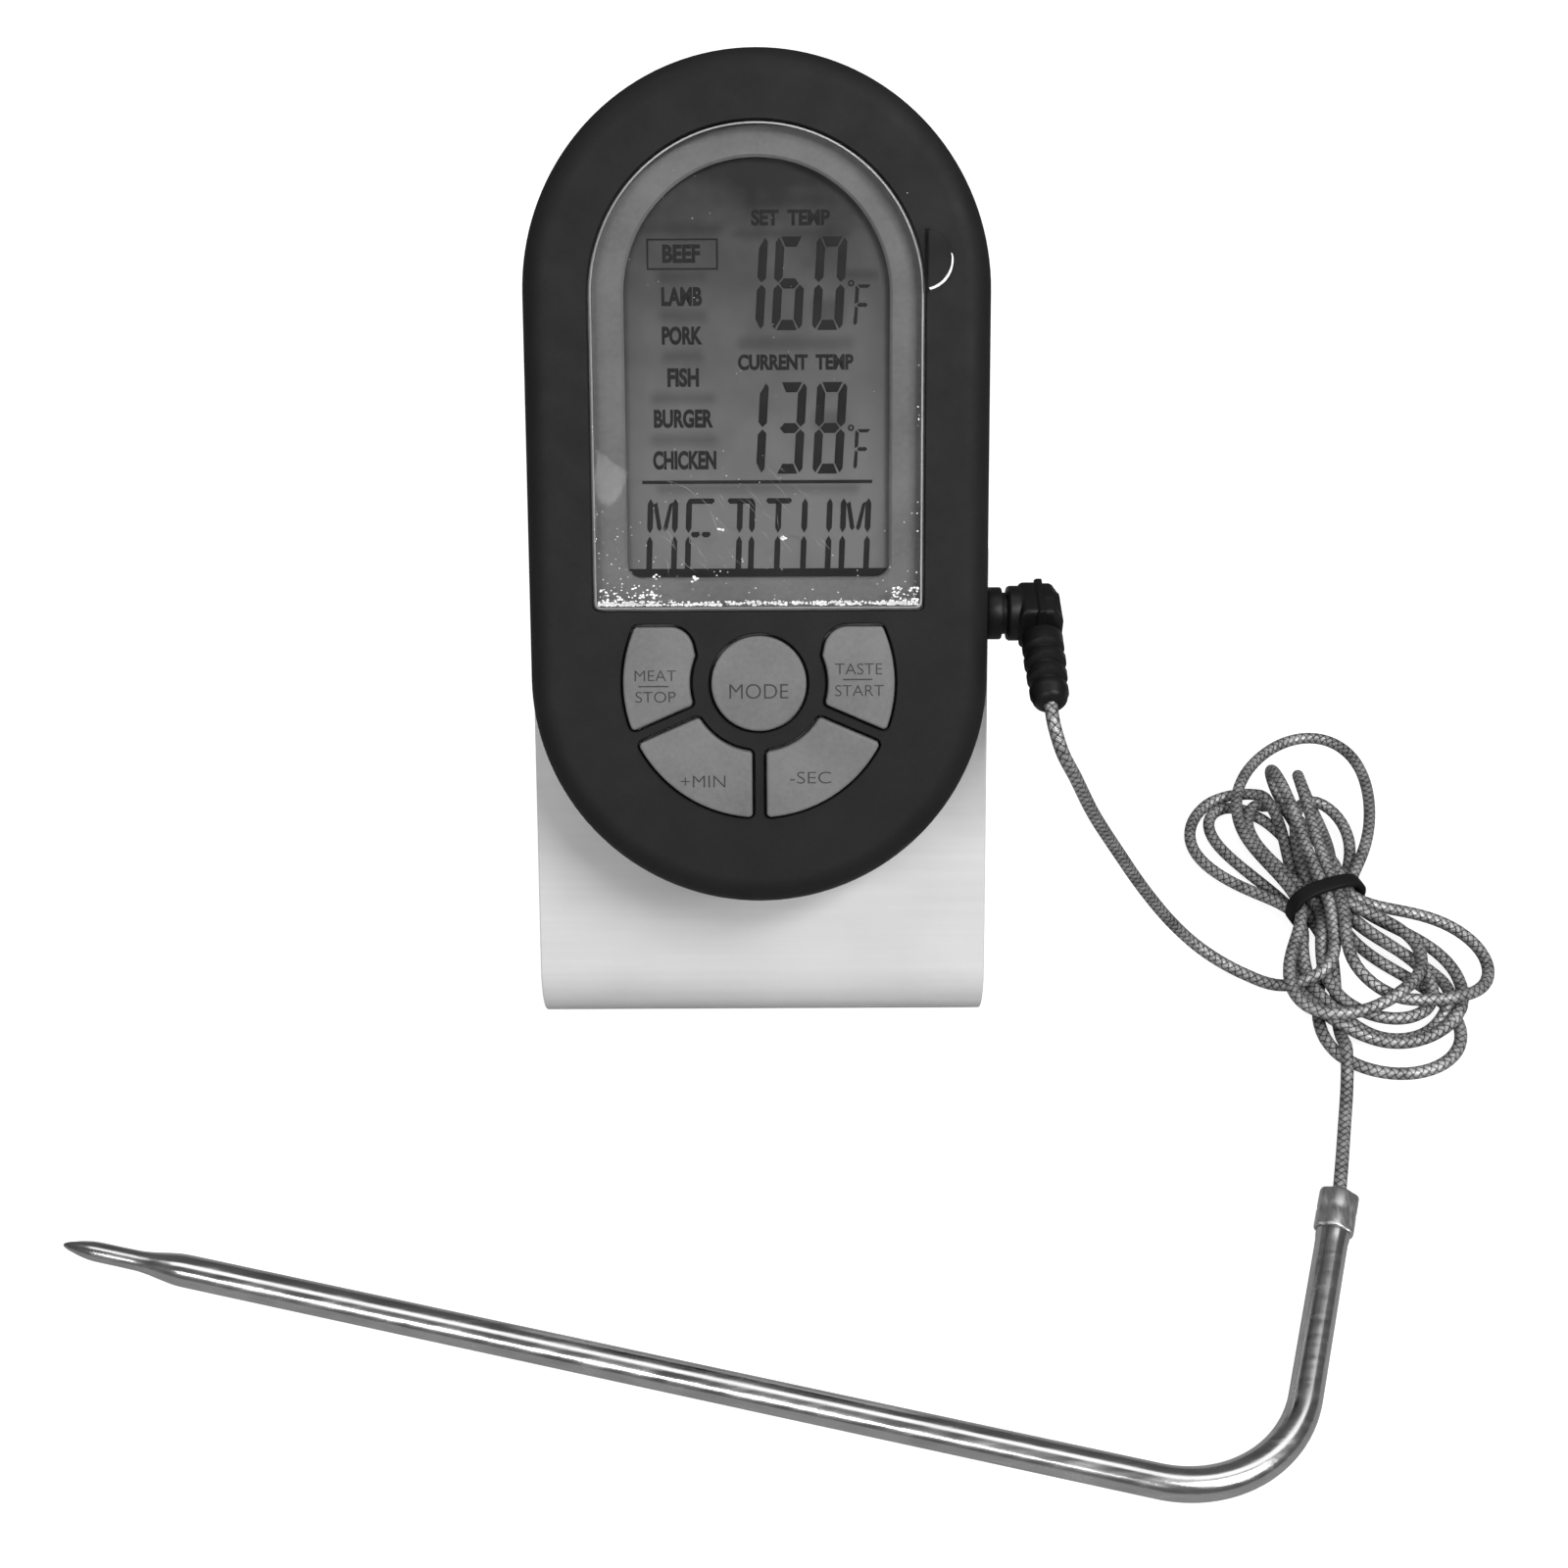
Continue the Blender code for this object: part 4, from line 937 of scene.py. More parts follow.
FRONT_EDGE_RADIUS = 0.0040
SEAM_LIP = 0.0002
HOLE_LIP = 0.00012
FILM_FRONT = -0.00030
FILM_BACK = -0.00015
PANEL = (-0.0200, 0.0200, -0.0165, 0.0465)


def stadium(grow):
    radius = HOUSING_WIDTH / 2 + grow
    centre_y = HOUSING_LENGTH / 2 - HOUSING_WIDTH / 2
    return arc((0.0, centre_y), radius, 0, 180, 72) + arc((0.0, -centre_y), radius, 180, 360, 72)


def window_outline(grow):
    half, top, bottom = LENS
    return arch(half + grow, top + grow, bottom - grow)


def mode_outline(grow):
    return circle((0.0, KEY_CENTRE_Y), MODE_KEY_RADIUS + grow, 72)


def ring_outline(grow, side, lower):
    """A key round the middle key, with sharp corners. side is -1 on the left and 1 on the right."""
    inner = RING_KEY_INNER - grow
    outer = RING_KEY_OUTER + grow
    half_gap = KEY_SPACING / 2 - grow
    slope = (math.cos(KEY_DIAGONAL), -math.sin(KEY_DIAGONAL))
    normal = (math.sin(KEY_DIAGONAL), math.cos(KEY_DIAGONAL))

    def on_diagonal(radius, offset):
        along = math.sqrt(radius * radius - offset * offset)
        x = slope[0] * along + normal[0] * offset
        y = slope[1] * along + normal[1] * offset
        return math.degrees(math.atan2(y, x))

    if lower:
        first_inner = -math.degrees(math.acos(half_gap / inner))
        first_outer = -math.degrees(math.acos(half_gap / outer))
        last_inner = on_diagonal(inner, -half_gap)
        last_outer = on_diagonal(outer, -half_gap)
    else:
        top = RING_KEY_TOP + grow
        first_inner = on_diagonal(inner, half_gap)
        first_outer = on_diagonal(outer, half_gap)
        last_inner = math.degrees(math.asin(min(0.999, (top - 0.0035) / inner)))
        last_outer = math.degrees(math.asin(top / outer))
    corners = arc((0.0, 0.0), outer, first_outer, last_outer, 40)
    inside = arc((0.0, 0.0), inner, last_inner, first_inner, 30)
    if not lower:
        end = inside[0]
        reach = 0.0026
        corners += arc((end[0] + reach + 0.0004, top - reach - 0.0002), reach + 0.0002, 90, 165, 14)
    return [(side * x, KEY_CENTRE_Y + y) for x, y in corners + inside]


def ring_key(side, lower):
    """The rounded outline of a ring key as a function of how far it is grown."""
    return lambda grow: grown(ring_outline(-KEY_CORNER, side, lower), KEY_CORNER + grow)


RING_KEYS = {
    "meat_stop": (-1, False),
    "taste_start": (1, False),
    "minutes": (-1, True),
    "seconds": (1, True),
}
# How much the letters' strokes are thinned
LEGEND_WEIGHT = -0.012
# Word or bar, and the box it fills on the face: left, right, bottom and top, millimetres. A bar has no word.
LEGENDS = {
    "mode": (("MODE", -4.2, 4.2, -29.7, -27.6),),
    "meat_stop": (
        ("MEAT", -17.7, -11.8, -27.1, -25.6),
        ("", -17.2, -12.9, -27.98, -27.8),
        ("STOP", -17.6, -11.9, -30.2, -28.65),
    ),
    "taste_start": (
        ("TASTE", 10.9, 17.6, -26.3, -24.7),
        ("", 12.0, 16.2, -27.1, -26.92),
        ("START", 10.9, 17.8, -29.4, -27.8),
    ),
    "minutes": (("+MIN", -11.3, -4.9, -42.5, -40.8),),
    "seconds": (("-SEC", 4.4, 10.3, -42.0, -40.3),),
}


def make_keys():
    outlines = {"mode": mode_outline}
    outlines |= {name: ring_key(side, lower) for name, (side, lower) in RING_KEYS.items()}
    for name, outline_of in outlines.items():
        body = f"{name}_button"
        levels = [at_depth(outline_of(-inset), depth - KEY_RISE) for inset, depth in edge_steps(0.0004, 6)]
        levels.append(at_depth(outline_of(0.0), FACE_WALL + GAP))
        levels += [at_depth(outline_of(KEY_FLANGE), depth) for depth in (FACE_WALL + GAP, KEY_BOTTOM)]
        key = raw(f"key_cap_{name}", *stack(levels), FACE)
        settle(key, "key", body, f"key_{name}")
        marks = []
        for text, left, right, bottom, top in LEGENDS[name]:
            if text:
                low, high = (left * MM, bottom * MM), (right * MM, top * MM)
                marks.append(words(text, low, high, -KEY_RISE, LEGEND_WEIGHT))
            else:
                bar = rectangle(left * MM, right * MM, bottom * MM, top * MM)
                marks.append(plate("bar", bar, -KEY_RISE - PRINT_THICK, -KEY_RISE))
        settle(merge(f"key_legend_{name}", marks), "legend", body)


def make_front_shell():
    radius = FRONT_EDGE_RADIUS
    levels = [at_depth(stadium(-inset), depth) for inset, depth in edge_steps(radius, 14)]
    levels += [at_depth(stadium(0.0), SEAM_DEPTH - SEAM_LIP), at_depth(stadium(-SEAM_LIP), SEAM_DEPTH)]
    levels += [at_depth(stadium(-WALL), SEAM_DEPTH), at_depth(stadium(-WALL), radius)]
    levels.append(at_depth(stadium(-radius), FACE_WALL))
    front = raw("front_shell", *stack(levels), FACE)
    openings = [(window_outline, GAP), (mode_outline, KEY_CLEARANCE)]
    openings += [(ring_key(side, lower), KEY_CLEARANCE) for side, lower in RING_KEYS.values()]
    for outline_of, room in openings:
        hole(front, lambda grow, of=outline_of, gap=room: of(grow + gap), -GAP, FACE_WALL + GAP, HOLE_LIP)
    settle(front, "charcoal", "unit", "housing_front", angle=30.0)


def make_window():
    """The clear window with its moulded rim, and the transport film on it."""
    lens = slab("window", window_outline, 0.0001, 0.0018, 0.0002)
    settle(lens, "lens", "unit", "window_lens")
    outer, inner = window_outline(-0.00002), window_outline(-0.00028)
    ring = at_depth(outer, 0.00022) + at_depth(inner, 0.00006)
    ring += at_depth(inner, 0.00012) + at_depth(outer, 0.00030)
    settle(raw("window_rim", ring, bands(4, len(outer), closed=True), FACE), "lens_rim", "unit")

    film = plate("film", window_outline(-0.0004), FILM_FRONT, FILM_BACK)
    tab = rectangle(0.0200, 0.0273, 0.0267, 0.0354, 0.0040, 14)
    combine(film, plate("tab", tab, FILM_FRONT, FILM_BACK), "UNION")
    settle(film, "film", "unit", "protective_film")


def frame_outline(grow):
    half, top, bottom = LENS
    return arch(half + 0.0012 + grow, top + 0.0012 + grow, bottom - 0.0010 - grow)


def view_outline(grow):
    half, top, bottom = VIEW
    return arch(half + grow, top + grow, bottom - grow, 0.0020 + grow)


def panel_outline(grow):
    return spread_box(PANEL, grow, 0.0004)


def make_bezel():
    """The silver-grey surround behind the window, and the display panel behind that."""
    bezel = slab("display_bezel", frame_outline, FACE_WALL + GAP, 0.0033, 0.0001)
    sights = ((0.0006, 0.0019), (0.0, 0.0024), (0.0, 0.0036))
    combine(bezel, raw("view", *stack([at_depth(view_outline(grow), depth) for grow, depth in sights]), FACE))
    settle(bezel, "bezel", "unit", "display_frame", angle=20.0)
    panel = slab("display_panel", panel_outline, 0.0036, 0.0058, 0.0001)
    settle(panel, "reflector", "unit", "lcd_panel")


# ---------------------------------------------------------------- what the display shows

SLANT = math.tan(math.radians(3.4))
SEGMENT_DEPTH = 0.00355
SEGMENT_THICK = 0.00003
# A digit's size, the width of its upright and level strokes, and the slit between them, in millimetres
DIGIT_WIDTH = 4.26
DIGIT_HEIGHT = 12.8
DIGIT_UPRIGHT = 1.2
DIGIT_LEVEL = 1.4
DIGIT_SLIT = 0.16


def segment_shape(points, low, slant):
    """A flat mark on the display from corners in millimetres, leaning by slant from its cell's bottom."""
    outline = [((x + (y - low) * slant) * MM, y * MM) for x, y in points]
    return plate("segment", outline, SEGMENT_DEPTH - SEGMENT_THICK, SEGMENT_DEPTH)


def digit(name, left, low):
    """The shapes of one seven-segment digit."""
    upright, flat, slit = DIGIT_UPRIGHT, DIGIT_LEVEL, DIGIT_SLIT
    high, middle, right = low + DIGIT_HEIGHT, low + DIGIT_HEIGHT / 2, left + DIGIT_WIDTH
    clip = 0.55
    half = flat / 2

    def bar(y_out, y_in):
        outer = ((left + slit + clip, y_out), (right - slit - clip, y_out))
        return *outer, (right - upright - slit, y_in), (left + upright + slit, y_in)

    def side(x_out, x_in, y_far, inwards):
        x_mid = (x_out + x_in) / 2
        y_near = middle - inwards * slit
        return (
            (x_out, y_far + inwards * (clip + slit)),
            (x_out + (x_in - x_out) * 0.35, y_far + inwards * slit),
            (x_in, y_far + inwards * (flat + slit)),
            (x_in, y_near - inwards * half),
            (x_mid, y_near),
            (x_out, y_near - inwards * half * 0.8),
        )

    inner_left, inner_right = left + upright, right - upright
    shapes = {
        "a": bar(high, high - flat),
        "d": bar(low, low + flat),
        "g": (
            (left + upright * 0.5 + slit, middle),
            (inner_left + slit, middle + half),
            (inner_right - slit, middle + half),
            (right - upright * 0.5 - slit, middle),
            (inner_right - slit, middle - half),
            (inner_left + slit, middle - half),
        ),
        "f": side(left, inner_left, high, -1),
        "b": side(right, inner_right, high, -1),
        "e": side(left, inner_left, low, 1),
        "c": side(right, inner_right, low, 1),
    }
    lit = {"0": "abcdef", "1": "bc", "3": "abcdg", "6": "acdefg", "8": "abcdefg"}
    return [segment_shape(shapes[key], low, SLANT) for key in lit[name]]


def degree_mark(left, low):
    """A small ring and a thin F to its lower right."""
    centre = ((left + 0.43) * MM, (low + 5.75) * MM)
    ring = plate("ring", circle(centre, 0.00045, 24), SEGMENT_DEPTH - SEGMENT_THICK, SEGMENT_DEPTH)
    combine(ring, plate("hole", circle(centre, 0.00022, 24), SEGMENT_DEPTH - 0.001, SEGMENT_DEPTH + 0.001))
    x = left + 0.75
    strokes = (
        ((0.0, 0.3), (0.25, 0.0), (0.5, 0.3), (0.5, 2.4), (0.1, 2.6)),
        ((0.0, 2.9), (0.5, 3.1), (0.5, 5.0), (0.1, 5.4), (0.0, 5.3)),
        ((0.25, 5.56), (0.65, 5.1), (1.75, 5.1), (2.1, 5.56)),
        ((0.35, 2.75), (0.6, 2.5), (1.6, 2.5), (1.85, 2.75), (1.6, 3.05), (0.6, 3.05)),
    )
    return [ring] + [segment_shape([(x + a, low + b) for a, b in stroke], low, SLANT) for stroke in strokes]


def letter(left, parts):
    """One fourteen-segment letter whose cell starts at left; the bottom bars are out of sight."""
    top, middle, foot = -1.45, -6.55, -12.4
    wide, stroke, slit = 4.35, 0.80, 0.22
    lean = math.tan(math.radians(2.2))

    def upright(x, low, high):
        x_low, x_high, y_low, y_high = x - stroke / 2, x + stroke / 2, low + 0.7, high - 0.7
        return (x_low, y_low), (x, low), (x_high, y_low), (x_high, y_high), (x, high), (x_low, y_high)

    def bar(x_low, x_high, y):
        y_low, y_high = y - stroke * 0.48, y + stroke * 0.48
        lower = ((x_low, y), (x_low + 0.35, y_low), (x_high - 0.35, y_low))
        return *lower, (x_high, y), (x_high - 0.2, y_high), (x_low + 0.2, y_high)

    def diagonal(x_low, x_high):
        start = ((x_low - 0.22, top - 0.8), (x_low + 0.3, top - 0.5))
        return *start, (x_high + 0.32, middle + 0.9), (x_high, middle + 0.5), (x_high - 0.3, middle + 0.9)

    at = {"left": left + 0.4, "centre": left + wide / 2, "right": left + wide - 0.4}
    shapes = []
    for part in parts.split():
        if part in at:
            shapes.append(upright(at[part], middle + slit, top))
            shapes.append(upright(at[part], foot, middle - slit))
        elif part == "top":
            shapes.append(bar(left + 0.35, left + wide - 0.3, top - 0.35))
        elif part == "dash":
            shapes.append(bar(left + 0.75, left + wide / 2 - 0.1, middle))
            shapes.append(bar(left + wide / 2 + 0.1, left + wide - 0.75, middle))
        elif part == "down":
            shapes.append(diagonal(at["left"] + 0.65, at["left"] + 1.35))
        else:
            shapes.append(diagonal(at["right"] - 0.65, at["right"] - 1.35))
    return [segment_shape(points, foot, lean) for points in shapes]


# How much the letters' strokes are thickened
LABEL_WEIGHT = 0.042
# Lit words: left, right, bottom and top, millimetres
LABELS = (
    ("SET  TEMP", -0.7, 10.3, 36.3, 38.5),
    ("CURRENT  TEMP", -2.7, 13.6, 16.5, 18.7),
    ("BEEF", -13.2, -7.9, 31.3, 33.8),
    ("LAMB", -13.4, -7.7, 25.4, 28.0),
    ("PORK", -13.4, -7.7, 20.05, 22.6),
    ("FISH", -12.7, -8.25, 14.2, 16.85),
    ("BURGER", -14.7, -6.3, 8.5, 11.1),
    ("CHICKEN", -14.9, -5.9, 2.65, 5.3),
)


def make_display():
    marks = []
    for text, left, right, bottom, top in LABELS:
        low, high = (left * MM, bottom * MM), (right * MM, top * MM)
        marks.append(words(text, low, high, SEGMENT_DEPTH, LABEL_WEIGHT, SEGMENT_THICK))
    line = 0.24
    x_low, x_high, y_low, y_high = (-15.4, -5.4, 30.35, 34.6)
    for sides in (
        (x_low, x_high, y_low, y_low + line),
        (x_low, x_high, y_high - line, y_high),
        (x_low, x_low + line, y_low + line, y_high - line),
        (x_high - line, x_high, y_low + line, y_high - line),
        (-16.5, 16.3, 0.65, 1.12),
    ):
        marks.append(segment_shape(rectangle(*sides), 0.0, 0.0))
    for text, low in (("160", 22.02), ("138", 2.02)):
        for name, left in zip(text, (-3.35, 2.05, 7.77)):
            marks += digit(name, left, low)
        marks += degree_mark(12.85, low + 0.65)
    letter_m = "left right down up"
    word = (letter_m, "left top dash", "centre right top", "centre top", "left right", letter_m)
    for i, parts in enumerate(word):
        marks += letter(-16.15 + 5.52 * i, parts)
    settle(merge("display_marks", marks), "segment", "unit")

    # A painted shadow: a near-black strip along the bottom of the view, where the bezel's lower edge shades
    # the display
    view_of = arch(VIEW[0] - 0.0001, VIEW[1], VIEW[2] + 0.0001, 0.0020)
    low_part = [(x, y) for x, y in view_of if y < -0.0100]
    cap = [(x, min(y, -0.0114)) for x, y in low_part]
    settle(plate("display_painted_shadow", cap, SEGMENT_DEPTH - 0.00012, SEGMENT_DEPTH - 0.00005), "band", "unit")


# Larger clusters of bubbles: across and up the face, and size, metres
CLUSTERS = (
    (-0.0145, -0.0124, 0.0003),
    (-0.0090, -0.0126, 0.00035),
    (0.0035, -0.0069, 0.0004),
    (-0.0050, -0.0058, 0.0003),
)


def fleck(draw, x, y, size, depth):
    """A small flat irregular bubble, drawn white as a painted glint."""
    count = draw.randint(5, 7)
    outline = []
    for i in range(count):
        turn = 2 * math.pi * i / count + draw.uniform(-0.3, 0.3)
        reach = size * draw.uniform(0.5, 1.0)
        outline.append((x + reach * math.cos(turn) * 1.3, y + reach * math.sin(turn)))
    return plate("fleck", outline, depth - 0.00003, depth)


def make_film_marks():
    """Bubbles along the film's lower edge and corners, drawn as white painted glints, a few scratches, and a
    painted highlight on the tab's turned edge.
    """
    draw = random.Random(7)
    top = FILM_FRONT
    half, low = LENS[0] - 0.0006, LENS[2] + 0.0006
    flecks = []

    def scatter(count, x_range, y_range, sizes, pull=1.0):
        for _ in range(count):
            x = draw.uniform(*x_range)
            y = y_range[0] + (y_range[1] - y_range[0]) * draw.random() ** pull
            flecks.append(fleck(draw, x, y, draw.uniform(*sizes), top))

    scatter(330, (-half, half), (low, low + 0.0005), (0.00008, 0.00030))
    scatter(120, (-half, -half + 0.0090), (low, low + 0.0028), (0.00008, 0.00028), 2.4)
    scatter(70, (half - 0.0040, half), (low, low + 0.0024), (0.00008, 0.00028), 2.0)
    scatter(60, (-half, half), (low + 0.0006, low + 0.0070), (0.00004, 0.00013), 1.6)
    scatter(26, (-half, -half + 0.0050), (low + 0.0010, low + 0.0160), (0.00004, 0.00012), 1.4)
    scatter(40, (-0.017, 0.022), (-0.012, 0.006), (0.00003, 0.00009))
    scatter(24, (-0.020, 0.021), (0.006, 0.046), (0.00003, 0.00007))
    scatter(10, (half - 0.0003, half), (-0.014, 0.020), (0.00005, 0.00014))
    for x, y, size in CLUSTERS:
        for _ in range(4):
            spot = (x + draw.gauss(0, 0.0003), y + draw.gauss(0, 0.0002))
            flecks.append(fleck(draw, *spot, size * draw.uniform(0.3, 0.9), top))
    # A painted highlight: a white crescent along the tab's turned edge
    tab_highlight = arc((0.0233, 0.03105), 0.0040, -78, 12, 20) + arc((0.0231, 0.0313), 0.00398, 12, -78, 20)
    flecks.append(plate("tab_highlight", tab_highlight, top - 0.00004, top))
    settle(merge("film_bubble_glints", flecks), "glint", "unit")

    lines = []
    for _ in range(34):
        x, y = draw.uniform(-0.014, 0.010), draw.uniform(-0.010, 0.004)
        turn = math.radians(draw.gauss(-52, 9))
        reach = draw.uniform(0.0012, 0.0050)
        wide = draw.uniform(0.000012, 0.00003)
        end = (x + reach * math.cos(turn), y + reach * math.sin(turn))
        sway = draw.uniform(-0.0003, 0.0003)
        x_mid, y_mid = (x + end[0]) / 2 + sway, (y + end[1]) / 2 + sway
        x_side, y_side = -math.sin(turn) * wide, math.cos(turn) * wide
        outline = [(x, y), (x_mid + x_side, y_mid + y_side), end, (x_mid - x_side, y_mid - y_side)]
        lines.append(plate("scratch", outline, top - 0.00002, top))
    settle(merge("film_scratches", lines), "scratch", "unit")


# ---------------------------------------------------------------- the back of the unit

HOUSING_SCREWS = ((0.0, 0.0546), (-0.0276, 0.0030), (0.0276, 0.0030))
STAND_SCREWS = ((-0.0130, -0.0500), (0.0130, -0.0500))
SCREW_HEAD_RADIUS = 0.0023
SCREW_HEAD_HEIGHT = 0.0017
SCREW_SHANK_RADIUS = 0.00115
SCREW_HOLE_RADIUS = 0.0015
BACK_EDGE_RADIUS = 0.0025
BAY = (-0.0267, 0.0267, 0.0112, 0.0354)
BAY_FLOOR_DEPTH = 0.0070
BAY_WALL = 0.0009
DOOR = (-0.0279, 0.0279, 0.0091, 0.0372)
DOOR_THICKNESS = 0.0016
JACK_Y = -0.01875
JACK_DEPTH = 0.0141
SWITCH_Y = 0.0030
SWITCH_TRAVEL = 0.0035


def make_rear_shell():
    inner_back = HOUSING_DEPTH - BACK_WALL
    front = SEAM_DEPTH + GAP
    levels = [at_depth(stadium(-WALL), inner_back), at_depth(stadium(-WALL), front)]
    levels += [at_depth(stadium(-SEAM_LIP), front), at_depth(stadium(0.0), front + SEAM_LIP)]
    for inset, depth in reversed(edge_steps(BACK_EDGE_RADIUS, 10)):
        levels.append(at_depth(stadium(-inset), HOUSING_DEPTH - depth))
    rear = raw("rear_shell", *stack(levels), FACE)
    for centre in HOUSING_SCREWS + STAND_SCREWS:
        combine(rear, plate("post", circle(centre, 0.0031), front, inner_back + GAP), "UNION")
    bay = spread_box(BAY, BAY_WALL)
    combine(rear, plate("bay", bay, BAY_FLOOR_DEPTH - 0.0008, inner_back + GAP), "UNION")
    combine(rear, plate("ledge", spread_box(DOOR, 0.0015), inner_back - 0.0010, inner_back + GAP), "UNION")
    past = HOUSING_DEPTH + GAP
    for centre in HOUSING_SCREWS + STAND_SCREWS:
        combine(rear, plate("hole", circle(centre, SCREW_HOLE_RADIUS), SEAM_DEPTH, past))
    for centre in HOUSING_SCREWS:
        combine(rear, plate("seat", circle(centre, SCREW_HEAD_RADIUS + 0.0004), inner_back - GAP, past))
    floor = HOUSING_DEPTH - DOOR_THICKNESS - GAP
    combine(rear, plate("recess", spread_box(DOOR, GAP, 0.0010), floor, past))
    combine(rear, plate("inside", spread_box(BAY, 0.0), BAY_FLOOR_DEPTH, HOUSING_DEPTH))
    slot = rectangle(-0.0038, 0.0038, SWITCH_Y - 0.0017, SWITCH_Y + 0.0017, 0.0003, 3)
    combine(rear, plate("slot", slot, inner_back - GAP, past))
    mouth = (HOUSING_WIDTH / 2 - WALL - GAP, JACK_Y, -JACK_DEPTH)
    combine(rear, turned("mouth", ((0.0, 0.0032), (0.0035, 0.0032)), mouth, (1, 0, 0), at=FACE))
    settle(rear, "charcoal", "unit", "housing_rear", angle=30.0)

    for text, x_low, x_high in (("ON", 0.0052, 0.0088), ("OFF", -0.0100, -0.0052)):
        low, high = (x_low, SWITCH_Y - 0.0009), (x_high, SWITCH_Y + 0.0009)
        label = words(text, low, high, HOUSING_DEPTH, 0.0, 0.00015, True)
        settle(label, "charcoal", "unit").name = f"switch_{text}"


def make_door():
    front = HOUSING_DEPTH - DOOR_THICKNESS
    steps = [(inset, depth + front) for inset, depth in edge_steps(0.0002, 2)]
    steps += [(inset, HOUSING_DEPTH - depth) for inset, depth in reversed(edge_steps(0.0004, 4))]
    levels = [at_depth(spread_box(DOOR, -inset, 0.0010), depth) for inset, depth in steps]
    door = raw("battery_cover", *stack(levels), FACE)
    for i in range(5):
        y = DOOR[3] - 0.0030 - 0.0012 * i
        groove = rectangle(-0.0060, 0.0060, y - 0.0003, y + 0.0003, 0.00028, 4)
        combine(door, plate("groove", groove, HOUSING_DEPTH - 0.00045, HOUSING_DEPTH + GAP))
    arrow = [(0.0, 0.0262), (-0.0016, 0.0242), (-0.0006, 0.0242), (-0.0006, 0.0222)]
    arrow += [(-x, y) for x, y in reversed(arrow[1:])]
    combine(door, plate("arrow", arrow, HOUSING_DEPTH - 0.0003, HOUSING_DEPTH + GAP))
    settle(door, "charcoal", "door", "battery_door", angle=30.0)


def make_switch():
    x = -SWITCH_TRAVEL / 2
    outline = (x - 0.0017, x + 0.0017, SWITCH_Y - 0.0013, SWITCH_Y + 0.0013)
    levels = [at_depth(spread_box(outline, 0.0, 0.0002), 0.0159)]
    for inset, depth in reversed(edge_steps(0.0002, 3)):
        levels.append(at_depth(spread_box(outline, -inset, 0.0002), HOUSING_DEPTH + 0.0002 - depth))
    slider = raw("switch_knob", *stack(levels), FACE)
    for i in (-1, 0, 1):
        middle = x + 0.0009 * i
        groove = rectangle(middle - 0.0002, middle + 0.0002, SWITCH_Y - 0.002, SWITCH_Y + 0.002)
        combine(slider, plate("groove", groove, HOUSING_DEPTH - 0.0001, HOUSING_DEPTH + 0.001))
    settle(slider, "plug", "switch_slider", "power_switch")


def make_screw(name, centre, start_depth, shank):
    head, radius = SCREW_HEAD_HEIGHT, SCREW_SHANK_RADIUS
    profile = [(depth, SCREW_HEAD_RADIUS - inset) for inset, depth in edge_steps(0.0007, 5)]
    profile += [(head, SCREW_HEAD_RADIUS), (head, radius + 0.0001), (head + 0.0002, radius)]
    profile += [(head + shank - 0.0008, radius), (head + shank, 0.0004)]
    start = (centre[0], centre[1], -start_depth)
    screw = turned(name.replace("screw", "fixing"), profile, start, (0, 0, 1), 32, FACE)
    for wide, high in ((0.0013, 0.00028), (0.00028, 0.0013)):
        x, y = centre
        cross = []
        for w, h, depth in ((wide, high, 0.001), (wide * 0.72, high * 0.8, -0.0009)):
            cross.append(at_depth(rectangle(x - w, x + w, y - h, y + h), start_depth + depth))
        combine(screw, raw("cross", *stack(cross), FACE))
    settle(screw, "plated", "unit", name)


def make_screws():
    seat = HOUSING_DEPTH - BACK_WALL - GAP
    for number, centre in enumerate(HOUSING_SCREWS, 1):
        make_screw(f"housing_screw_{number}", centre, seat + 0.0020, 0.0125)
    behind = HOUSING_DEPTH + GAP + STAND_SHEET + GAP + SCREW_HEAD_HEIGHT
    for number, centre in enumerate(STAND_SCREWS, 1):
        make_screw(f"stand_screw_{number}", centre, behind, 0.0160)


# ---------------------------------------------------------------- the stand

STAND_WIDTH = 0.0696
STAND_SHEET = 0.0012
STAND_BEND_RADIUS = 0.0090
STAND_LEAF = 0.0703
FOOT_LENGTH = 0.0680
STAND_CORNER_RADIUS = 0.0060
STAND_EDGE = 0.0003
STAND_BEND_CENTRE = Vector((0.0, -FOOT_LENGTH / 2, STAND_BEND_RADIUS))


